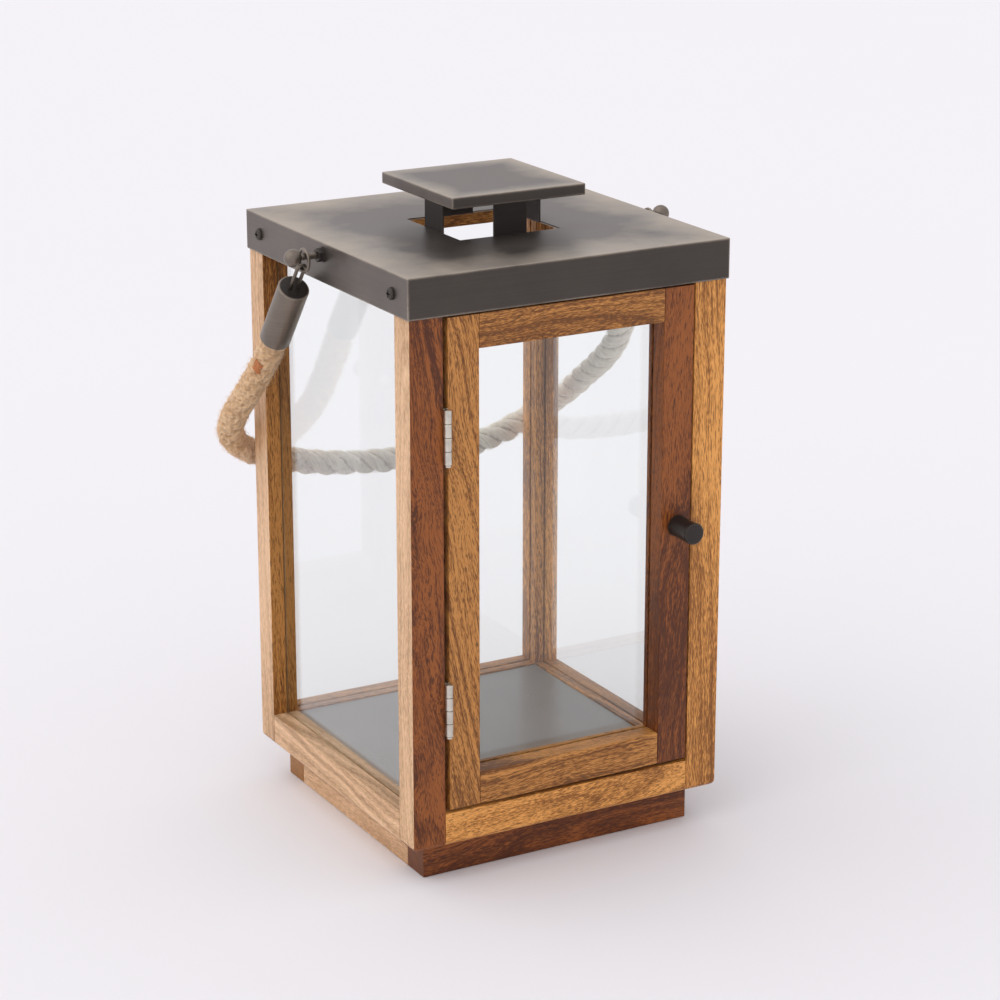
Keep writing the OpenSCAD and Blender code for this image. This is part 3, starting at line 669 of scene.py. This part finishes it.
# Height of the studs' axis, and each leg's distance from the middle, in millimetres
STUDS_Z, LEG_X = 357.5, 116.0
LEFT_LEAN, RIGHT_LEAN = radians(37), radians(20)
# Top and mouth of an end cap, along a leg from its stud's axis, in millimetres
CAP_TOP, MOUTH = -27.0, 73.0
# Distance between the rope's rings, and the points in each
ROPE_STEP, ROPE_ROUNDS = 0.9 * MM, 84
# Radius of a strand as a share of the rope's, its yarns, and the length of a yarn's turn
STRAND_SHARE, YARNS, YARN_LAY = 0.535, 4, 11 * MM
# Length of the matted end, and the length over which the strands come clear
MATTED, FRAYING = 0.13, 0.09
# Middle of the rope between the end caps, as x, y and the height above the studs' axis, in millimetres
ROPE_ROUTE = (
    (-116.5, 54, -71.5), (-118, 66, -86), (-119.5, 78, -99), (-120.5, 90, -111.5),
    (-120, 101, -122.5), (-117.2, 110, -132.5), (-111.3, 116.2, -141), (-102, 119.3, -148.2),
    (-89.5, 119.3, -153.8), (-72, 116.3, -158.3), (-50, 113.4, -162.5), (-26, 112.5, -165.5),
    (0, 112.5, -167.3), (26, 112.5, -167.5), (50, 113.4, -166), (71, 116, -163),
    (88, 119, -159), (101, 119.4, -154), (111, 116.1, -148.3), (118, 109.5, -141.5),
    (121.8, 99.5, -133), (122.5, 86.5, -123.2), (122, 74, -114.5), (121, 61.5, -106),
    (119.5, 50, -97.5), (118, 40, -88.5), (116.8, 32.5, -79.5),
)


def leg_point(side, lean, down):
    """A point on a leg of the handle, so many millimetres below its stud's axis."""
    return (side * LEG_X, down * sin(lean), -down * cos(lean))


def rope_line(grip):
    """The rope's middle line, in metres, as even steps along a smooth curve through its route."""
    inside = MOUTH - grip / MM
    route = [leg_point(-1, LEFT_LEAN, inside), leg_point(-1, LEFT_LEAN, MOUTH), *ROPE_ROUTE]
    route += [leg_point(1, RIGHT_LEAN, MOUTH), leg_point(1, RIGHT_LEAN, inside)]
    points = (np.array(route, float) + (0, 0, STUDS_Z)) * MM
    padded = np.vstack([2 * points[0] - points[1], points, 2 * points[-1] - points[-2]])
    fine = []
    for i in range(len(points) - 1):
        p = padded[i : i + 4]
        t = np.concatenate([[0], np.cumsum(np.linalg.norm(np.diff(p, axis=0), axis=1) ** 0.5)])
        for s in np.linspace(t[1], t[2], 24, endpoint=False):
            a = [((t[k + 1] - s) * p[k] + (s - t[k]) * p[k + 1]) / (t[k + 1] - t[k]) for k in range(3)]
            b = [((t[k + 2] - s) * a[k] + (s - t[k]) * a[k + 1]) / (t[k + 2] - t[k]) for k in range(2)]
            fine.append(((t[2] - s) * b[0] + (s - t[1]) * b[1]) / (t[2] - t[1]))
    fine = np.array([*fine, points[-1]])
    run = np.concatenate([[0], np.cumsum(np.linalg.norm(np.diff(fine, axis=0), axis=1))])
    at = np.linspace(0, run[-1], int(run[-1] / ROPE_STEP))
    return np.stack([np.interp(at, run, fine[:, k]) for k in (X, Y, Z)], axis=1), at


def frames_along(line):
    """Two directions square to the line at each of its points, carried along without twist."""
    tangent = np.gradient(line, axis=0)
    tangent /= np.linalg.norm(tangent, axis=1)[:, None]
    side = np.cross(tangent[0], (0.0, 0.8, 0.6))
    sides = []
    for t in tangent:
        side = side - t * (side @ t)
        side /= np.linalg.norm(side)
        sides.append(side.copy())
    sides = np.array(sides)
    return tangent, sides, np.cross(tangent, sides)


def tube_faces(rings, count, base=0):
    """The faces of a tube with closed ends, whose points are listed ring by ring from number base on."""
    faces = []
    for i in range(rings - 1):
        low, high = base + i * count, base + (i + 1) * count
        faces += [(low + j, low + (j + 1) % count, high + (j + 1) % count, high + j) for j in range(count)]
    top = base + (rings - 1) * count
    return faces + [tuple(range(base + count - 1, base - 1, -1)), tuple(range(top, top + count))]


def jute_object(name, points, faces, lay, depth, hazed_past_mat, smooth_angle=35):
    """Jute with what its material reads: the place along and round a yarn, the shadow, and how far past the
    matted end it is, where it is painted paler, partly as haze.
    """
    mesh = bpy.data.meshes.new(name)
    mesh.from_pydata([tuple(p) for p in points], [], faces)
    store(mesh, "lay", "FLOAT_VECTOR", lay)
    store(mesh, "depth", "FLOAT", depth)
    store(mesh, "hazed_past_mat", "FLOAT", hazed_past_mat)
    return object_from(name, mesh, smooth_angle)


def rope_strands(rope, line, run, side, up):
    """The rope's three strands as one skin, and how far past the matted end each ring is."""
    radius = rope.diameter / 2
    strand_r = STRAND_SHARE * radius
    strand_at = radius - strand_r
    third = tau / 3
    angle = np.arange(ROPE_ROUNDS) * tau / ROPE_ROUNDS
    points, lay, depth, hazed_past_mat = [], [], [], []
    for k in range(len(line)):
        twist = tau * run[k] / rope.lay
        local = (angle - twist + third / 2) % third - third / 2
        index = np.floor((angle - twist + third / 2) / third) % 3
        reach = strand_at * np.cos(local) + np.sqrt(strand_r**2 - (strand_at * np.sin(local)) ** 2)
        # Angle round the strand itself, for its yarns, which are twisted the other way
        own = np.arctan2(reach * np.sin(local), reach * np.cos(local) - strand_at)
        yarn = own * YARNS + tau * run[k] / YARN_LAY + index * 2.1
        # The first hand's breadth is matted, so its strands hardly show
        unmatted = min(max((run[k] - MATTED) / FRAYING, 0.0), 1.0)
        relief = 0.16 + 0.5 * unmatted
        # Two slow swells, 33 and 88 mm long, and yarns that stand 0.16 mm proud
        swell = 1 + 0.018 * sin(run[k] * 190) + 0.014 * sin(run[k] * 71 + 1)
        reach = relief * reach + (1 - relief) * radius
        reach = reach * swell + 0.16 * MM * np.abs(np.cos(yarn / 2)) - 0.25 * MM
        away = np.cos(angle)[:, None] * side[k] + np.sin(angle)[:, None] * up[k]
        # Lumps 2 mm across and smaller ones on them, deep where the rope is matted
        round_it = [Vector(line[k] + a * radius) for a in away]
        rough = np.array([noise.noise(p * 420) * 0.55 + noise.noise(p * 1100) * 0.3 for p in round_it])
        reach = reach + rough * (2.1 - 1.5 * unmatted) * MM
        points.append(line[k] + reach[:, None] * away)
        # Past the matted end the colour goes paler, partly as painted haze of the glass
        hazed_past_mat += [unmatted] * ROPE_ROUNDS
        lay += [(run[k] + o * 2.2 * MM, o * strand_r - run[k] * 0.5, i * 0.05) for o, i in zip(own, index)]
        shadow = np.clip((np.abs(local) - 0.62) / 0.42, 0, 1) ** 2
        depth += list(np.clip(shadow * (0.12 + 0.6 * unmatted) - rough * (1.5 - 1.0 * unmatted), 0, 1))
    points, faces = np.array(points).reshape(-1, 3), tube_faces(len(line), ROPE_ROUNDS)
    piece = jute_object("handle_rope_strands", points, faces, lay, depth, hazed_past_mat, 80)
    return dress(piece, "twisted_jute", "handle_rope"), hazed_past_mat[::ROPE_ROUNDS]


def rope_stitch(rope, line, tangent):
    """Five crossed turns of coarse waxed thread that hold the matted end together."""
    middle = int((rope.grip + 17 * MM) / ROPE_STEP)
    turns, length, half_swing, steps = 5, 9, 0.42, 60
    points = []
    for k in range(steps + 1):
        t = k / steps
        at = middle + int(round(length * t))
        along = Vector(tangent[at])
        out = Vector((-0.75, -0.62, 0.1))
        out = (out - along * out.dot(along)).normalized()
        swing = sin(t * turns * tau) * half_swing
        away = Matrix.Rotation(swing, 3, along) @ out
        height = rope.diameter / 2 + (0.25 - 0.9 * abs(swing / half_swing) ** 6) * MM
        points.append(Vector(line[at]) + away * height)
    piece = bent_wire("handle_rope_stitch", points, 0.42 * MM, False, 8)
    return dress(piece, "waxed_thread", "handle_rope", stands_for=False)


def loose_fibres(rope, line, unmatted, tangent, side, up):
    """Short curved hairs of three sides, rooted in the rope and lifting off it."""
    chance = random.Random(7)
    points, faces, hazed_past_mat = [], [], []
    hidden = int(rope.grip / ROPE_STEP) + 3
    first, last = hidden, len(line) - hidden
    matted = next(i for i, w in enumerate(unmatted) if w > 0.5)
    rings = 5
    for _ in range(rope.fibres):
        # Two fibres in five are on the matted end
        k = chance.randrange(first, last if chance.random() < 0.6 else matted)
        turn = chance.uniform(0, tau)
        out = Vector(side[k]) * cos(turn) + Vector(up[k]) * sin(turn)
        along = Vector(tangent[k])
        sideways = out.cross(along)
        length = rope.fibre * (0.35 + 0.65 * chance.random() ** 2) * (1.25 - 0.5 * unmatted[k])
        heading = (along * chance.uniform(-1, 1) + sideways * chance.uniform(-0.9, 0.9)).normalized()
        curl = out.cross(heading) * chance.uniform(-0.45, 0.45)
        lift = chance.uniform(0.0, 0.65 - 0.2 * unmatted[k])
        bend = chance.uniform(-0.7, 0.2)
        root = Vector(line[k]) + out * (rope.diameter / 2 * chance.uniform(0.84, 0.95))
        thin = chance.uniform(0.07, 0.12) * MM
        faces += tube_faces(rings, 3, len(points))
        hazed_past_mat += [unmatted[k]] * (3 * rings)
        for r in range(rings):
            s = r / (rings - 1)
            rise = lift * s + bend * s * s * 0.5
            centre = root + heading * (length * s * 0.9) + out * (length * rise * 0.6)
            centre += curl * (length * sin(pi * s))
            width = thin * (1 - 0.7 * s)
            points += [centre + out * a + heading.cross(out) * b for a, b in circle(width, 3)]
    piece = jute_object("handle_rope_fibres", points, faces, points, [0.0] * len(points), hazed_past_mat)
    return dress(piece, "loose_jute", "handle_rope", stands_for=False)


class LANTERN_OT_rope(Operator):
    """Makes the three-strand rope of the handle and the loose fibres that stand off it."""

    bl_idname = "lantern.rope"
    bl_label = "Rope handle"

    def execute(self, context):
        rope = context.scene.lantern_rope
        line, run = rope_line(rope.grip)
        tangent, side, up = frames_along(line)
        piece, unmatted = rope_strands(rope, line, run, side, up)
        hairs = loose_fibres(rope, line, unmatted, tangent, side, up)
        stitch = rope_stitch(rope, line, tangent)
        return {"FINISHED"}


# ---- metal ----


def turned(name, profile, place, direction, rounds=64):
    """A lathe-turned piece: profile is (radius, height) points, and it stands on place along direction."""
    work = bmesh.new()
    hoops = [(circle(radius, rounds if radius else 1), height) for radius, height in profile]
    skin(work, [[(*p, height) for p in hoop] for hoop, height in hoops])
    turn = Vector(direction).to_track_quat("Z", "Y").to_matrix().to_4x4()
    work.transform(Matrix.Translation(Vector(place)) @ turn)
    return object_from(name, mesh_from(name, work), 32)


def bent_wire(name, line, radius, closed, rounds=20):
    """Round wire along a line of points."""
    line = [Vector(p) for p in line]
    count = len(line)
    rows = []
    side = None
    for i, p in enumerate(line):
        before = line[(i - 1) % count] if closed or i else p
        after = line[(i + 1) % count] if closed or i < count - 1 else p
        along = (after - before).normalized()
        side = side or along.orthogonal()
        side = (side - along * side.dot(along)).normalized()
        up = along.cross(side)
        rows.append([p + side * a + up * b for a, b in circle(radius, rounds)])
    work = bmesh.new()
    skin(work, rows, closed)
    return object_from(name, mesh_from(name, work), 50)


def folded_tray(node, name, hole=None, dish=0.0):
    """Sheet folded down on four sides, in the place of a CAD tray, with a square hole if it has one."""
    low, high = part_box(node)
    half, steps = round(high.x, 6), 12
    lines = {round(x, 6) for x in np.linspace(-half, half, 2 * steps + 1)}
    if hole:
        # No line runs close beside the hole's sides
        lines = {x for x in lines if abs(abs(x) - hole) > 3 * MM} | {-hole, hole}
    lines = sorted(lines)
    work = bmesh.new()
    grid = {}
    for x in lines:
        for y in lines:
            sag = dish * cos(pi * x / (2 * half)) * cos(pi * y / (2 * half))
            grid[x, y] = work.verts.new((x, y, high.z - sag))
    for x0, x1 in zip(lines, lines[1:]):
        for y0, y1 in zip(lines, lines[1:]):
            if hole and abs(x0 + x1) / 2 < hole and abs(y0 + y1) / 2 < hole:
                continue
            work.faces.new((grid[x0, y0], grid[x1, y0], grid[x1, y1], grid[x0, y1]))
    rim = [(x, -half) for x in lines] + [(half, y) for y in lines[1:]]
    rim += [(x, half) for x in reversed(lines[:-1])] + [(-half, y) for y in reversed(lines[1:-1])]
    skirt = [work.verts.new((x, y, low.z)) for x, y in rim]
    for i in range(len(rim)):
        j = (i + 1) % len(rim)
        work.faces.new((grid[rim[i]], grid[rim[j]], skirt[j], skirt[i]))
    bmesh.ops.delete(work, geom=[w for w in work.verts if not w.link_faces], context="VERTS")
    piece = object_from(name, mesh_from(name, work), 40)
    thick = piece.modifiers.new("sheet", "SOLIDIFY")
    thick.thickness, thick.offset, thick.use_even_offset = SHEET, -1.0, True
    fold = piece.modifiers.new("fold", "BEVEL")
    fold.width, fold.segments, fold.limit_method = bpy.context.scene.lantern_metal.fold, 3, "ANGLE"
    fold.angle_limit = radians(50)
    return even_normals(piece)


class LANTERN_OT_cap(Operator):
    """Makes the folded metal cap with its vent hole."""

    bl_idname = "lantern.cap"
    bl_label = "Cap"

    def execute(self, context):
        _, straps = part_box("finial_straps")
        piece = folded_tray("cap", "cap_sheet", hole=round(straps.x, 6), dish=0.25 * MM)
        dress(piece, "rubbed_bronze_lacquer_shaded_sides", "cap")
        paint_cad(["cap_screws"], "black_lacquer")
        return {"FINISHED"}


class LANTERN_OT_finial(Operator):
    """Makes the raised plate over the vent and the straps that carry it."""

    bl_idname = "lantern.finial"
    bl_label = "Finial"

    def execute(self, context):
        piece = folded_tray("finial_plate", "finial_plate_sheet", dish=0.15 * MM)
        dress(piece, "rubbed_thin_lacquer_shaded_sides", "finial_plate")
        low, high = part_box("finial_straps")
        size = Matrix.Diagonal((SHEET, 22 * MM, high.z - low.z, 1))
        strap = Matrix.Translation((high.x - SHEET / 2, 0, (high.z + low.z) / 2)) @ size
        places = [Matrix.Rotation(k * pi / 2, 4, "Z") @ strap for k in range(4)]
        straps = even_normals(blocks("finial_strap_strips", places, 0.25 * MM, 2))
        # The straps get the black lacquer: partly their own dark colour, partly painted shade under the raised
        # plate
        dress(straps, "black_lacquer", "finial_straps")
        return {"FINISHED"}


class LANTERN_OT_floor_plate(Operator):
    """Makes the painted floor plate."""

    bl_idname = "lantern.floor_plate"
    bl_label = "Floor plate"

    def execute(self, context):
        piece = even_normals(blocks("floor_plate_sheet", [filling("floor_plate")], 0.4 * MM, 3))
        dress(piece, "satin_painted_steel", "floor_plate")
        return {"FINISHED"}


class LANTERN_OT_panes(Operator):
    """Makes the four panes, with their sharp edges ground off."""

    bl_idname = "lantern.panes"
    bl_label = "Panes"

    def execute(self, context):
        for node in PANES:
            piece = blocks(node + "_pane", [filling(node)], 0.3 * MM, 1, 20)
            dress(piece, "float_glass", node)
        return {"FINISHED"}


class LANTERN_OT_knob(Operator):
    """Makes the turned knob of the door."""

    bl_idname = "lantern.knob"
    bl_label = "Knob"

    def execute(self, context):
        low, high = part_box("knob")
        r, long = (high.x - low.x) / 2, high.y - low.y
        # Radius and height, as shares of the whole
        shape = (
            (0, 0), (0.97, 0), (0.97, 0.02), (0.94, 0.12), (0.925, 0.35), (0.93, 0.62), (0.96, 0.84),
            (0.985, 0.925), (0.985, 0.955), (0.955, 0.985), (0.89, 1), (0.4, 0.996), (0, 0.995),
        )
        place = ((low.x + high.x) / 2, high.y, (low.z + high.z) / 2)
        piece = turned("knob_turned", [(a * r, b * long) for a, b in shape], place, (0, -1, 0))
        dress(piece, "black_lacquer", "knob")
        return {"FINISHED"}


def ball_stud(side, word):
    """A short shank with a ball on its end."""
    low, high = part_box("stud_" + word)
    ball_r = (high.z - low.z) / 2
    inner, outer = (low.x, high.x) if side > 0 else (high.x, low.x)
    shank_r, long = 2 * MM, abs(outer - inner)
    centre = long - ball_r
    neck = asin(shank_r / ball_r)
    profile = [(0, 0), (1.7 * MM, 0), (shank_r, 0.5 * MM), (shank_r, centre - ball_r * cos(neck))]
    arc = np.linspace(neck, pi, 22)[1:-1]
    profile += [(ball_r * sin(t), centre - ball_r * cos(t)) for t in arc]
    profile.append((0, centre + ball_r))
    return turned("stud_%s_turned" % word, profile, (inner, 0, STUDS_Z * MM), (side, 0, 0), 48)


def stud_ring(hang, word):
    """The ring that hangs on a stud."""
    low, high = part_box("ring_" + word)
    wire = (high.x - low.x) / 2
    ring_r = (max(high.y - low.y, high.z - low.z)) / 2 - wire
    drop = ring_r - wire - 2.1 * MM
    turn = np.linspace(0, tau, 72, endpoint=False)
    line = [hang @ Vector((0, ring_r * sin(t), -drop + ring_r * cos(t))) for t in turn]
    return bent_wire("ring_%s_wire" % word, line, wire, True)


def cap_eye(hang, word):
    """The wire eye that joins a ring and an end cap."""
    wire, half, top, foot = 1.1 * MM, 2.3 * MM, 7.6 * MM, (CAP_TOP - 1.9) * MM
    turn = np.linspace(0, pi, 22)
    arch = [(half * cos(t), 0, -top - half + half * sin(t)) for t in turn]
    staple = [(half, 0, foot), *arch, (-half, 0, foot)]
    return bent_wire("cap_eye_%s_wire" % word, [hang @ Vector(p) for p in staple], wire, False)


def cap_profile():
    """An end cap's outline from its top down: a turned cup, open below, with its edges eased."""
    r, bore, end = 9.3, 8.05, CAP_TOP + MOUTH
    outline = (
        (0, 0), (3.4, 0.15), (r - 1.0, 0.1), (r - 0.35, 0.2), (r, 0.75), (r, 12), (r, 24), (r, 36),
        (r, end - 0.8), (r - 0.3, end - 0.15), (r - 0.7, end), (bore + 0.2, end), (bore, end - 0.3),
        (bore, 3), (0, 3),
    )
    return [(radius * MM, -depth * MM) for radius, depth in outline]


class LANTERN_OT_handle(Operator):
    """Makes the studs, rings, eyes and end caps of the handle, and gives the nuts their lacquer."""

    bl_idname = "lantern.handle"
    bl_label = "Handle fittings"

    def execute(self, context):
        for side, word, lean in ((-1, "left", LEFT_LEAN), (1, "right", RIGHT_LEAN)):
            # Local axes of a leg, hanging from the stud
            hang = Matrix.Translation((side * LEG_X * MM, 0, STUDS_Z * MM)) @ Matrix.Rotation(lean, 4, "X")
            dress(ball_stud(side, word), "antique_plating", "stud_" + word)
            dress(stud_ring(hang, word), "antique_plating", "ring_" + word)
            dress(cap_eye(hang, word), "antique_plating", "cap_eye_" + word)
            at = hang @ Vector((0, 0, CAP_TOP * MM))
            away = hang.to_3x3() @ Vector((0, 0, 1))
            piece = turned("end_cap_%s_turned" % word, cap_profile(), at, away)
            dress(piece, "antique_plating", "end_cap_" + word)
            # The middle of the cap's top is black
            piece.data.materials.append(material("black_lacquer"))
            for polygon in piece.data.polygons:
                on_top = polygon.normal.dot(away) > 0.9 and (polygon.center - at).length < 6.5 * MM
                polygon.material_index = int(on_top)
        paint_cad(["stud_nut_left", "stud_nut_right"], "black_lacquer")
        return {"FINISHED"}


class LANTERN_OT_hinges(Operator):
    """Gives the hinges, screws, catch and other small fittings their plating, and the dowels their wood."""

    bl_idname = "lantern.hinges"
    bl_label = "Hinges and screws"

    def execute(self, context):
        zinc = [n for n in frame["nodes"] if n.startswith("hinge_")]
        for leaf in [frame["nodes"][n] for n in zinc if "leaf" in n]:
            flat = leaf.modifiers.new("flat", "DECIMATE")
            flat.decimate_type, flat.angle_limit = "DISSOLVE", radians(2)
            edge = leaf.modifiers.new("edge", "BEVEL")
            edge.width, edge.segments, edge.limit_method = 0.3 * MM, 2, "ANGLE"
            edge.angle_limit = radians(60)
        zinc += ["plinth_screws", "top_rail_screws", "knob_screw", "catch_plate"]
        paint_cad(zinc, "zinc_plate")
        paint_cad(["catch_magnet"], "black_lacquer")
        paint_cad(["frame_dowels", "door_dowels"], "oiled_sapwood")
        return {"FINISHED"}


# ---- stage ----

# The brightest side of the room, and the side that the key light comes from
WINDOW = (-0.75, 0.35, 0.55)
KEY_FROM = (-0.72, 0.15, 0.68)


class LANTERN_OT_camera(Operator):
    """Makes the camera, looking at the lantern from its front left."""

    bl_idname = "lantern.camera"
    bl_label = "Camera"

    def execute(self, context):
        stage = context.scene.lantern_stage
        camera = bpy.data.objects.new("camera", bpy.data.cameras.new("camera"))
        context.scene.collection.objects.link(camera)
        camera.data.lens = stage.lens
        camera.data.sensor_width = 36
        target = Vector((11.6, 0, 191.5)) * MM
        back = Vector((
            sin(stage.azimuth) * cos(stage.elevation),
            -cos(stage.azimuth) * cos(stage.elevation),
            sin(stage.elevation),
        ))
        camera.location = target + back * stage.distance
        camera.rotation_euler = (-back).to_track_quat("-Z", "Y").to_euler()
        camera.data.clip_end = 60
        context.scene.camera = camera
        return {"FINISHED"}


class LANTERN_OT_stage(Operator):
    """Makes the paper floor, the soft lamps and the pale surroundings."""

    bl_idname = "lantern.stage"
    bl_label = "Stage"

    def execute(self, context):
        stage = context.scene.lantern_stage
        work = bmesh.new()
        floor_radius = 14.0
        bmesh.ops.create_circle(work, cap_ends=True, segments=96, radius=floor_radius)
        floor = object_from("paper_floor", mesh_from("paper_floor", work))
        floor.location.z = -0.2 * MM
        floor.data.materials.append(material("paper_sweep"))

        world = bpy.data.worlds.new("studio")
        context.scene.world = world
        world.use_nodes = True
        tree = world.node_tree
        tree.nodes.clear()
        toward = add(tree, "TexCoord").outputs["Generated"]
        window = Vector(WINDOW).normalized()
        facing = add(tree, "VectorMath", {0: toward, 1: window}, operation="DOT_PRODUCT").outputs["Value"]
        light = add(tree, "Math", {0: facing, 1: stage.window, 2: stage.dome}, operation="MULTIPLY_ADD")
        sky = add(tree, "Background", {"Color": linear("#fcfbff"), "Strength": light})
        add(tree, "OutputWorld", {"Surface": sky})

        key = bpy.data.lights.new("key", "SUN")
        key.energy = stage.key
        key.angle = radians(75)
        key.color = linear("#fffdf8")[:3]
        lamp = bpy.data.objects.new("key", key)
        lamp.location = window * 2
        lamp.rotation_euler = Vector(KEY_FROM).to_track_quat("Z", "Y").to_euler()
        context.scene.collection.objects.link(lamp)
        context.scene.view_settings.view_transform = "Standard"
        return {"FINISHED"}


class LANTERN_PT_looks(Panel):
    """Lists the steps that make the lantern's looks."""

    bl_label = "Lantern"
    bl_space_type = "VIEW_3D"
    bl_region_type = "UI"
    bl_category = "Lantern"

    def draw(self, context):
        for step in STEPS:
            self.layout.operator(step.bl_idname)


STEPS = (
    LANTERN_OT_camera, LANTERN_OT_rope, LANTERN_OT_frame, LANTERN_OT_plinth,
    LANTERN_OT_door, LANTERN_OT_panes, LANTERN_OT_floor_plate, LANTERN_OT_cap,
    LANTERN_OT_finial, LANTERN_OT_knob, LANTERN_OT_handle, LANTERN_OT_hinges,
    LANTERN_OT_stage,
)
GROUPS = (
    ("lantern_wood", LanternWood),
    ("lantern_metal", LanternMetal),
    ("lantern_rope", LanternRope),
    ("lantern_stage", LanternStage),
)


def register():
    for name, group in GROUPS:
        bpy.utils.register_class(group)
        setattr(bpy.types.Scene, name, PointerProperty(type=group))
    for made in (*STEPS, LANTERN_PT_looks):
        bpy.utils.register_class(made)


def unregister():
    for made in reversed((*STEPS, LANTERN_PT_looks)):
        bpy.utils.unregister_class(made)
    for name, group in reversed(GROUPS):
        delattr(bpy.types.Scene, name)
        bpy.utils.unregister_class(group)


def main():
    register()
    for step in STEPS:
        area, name = step.bl_idname.split(".")
        getattr(getattr(bpy.ops, area), name)()


if __name__ == "__main__":
    main()
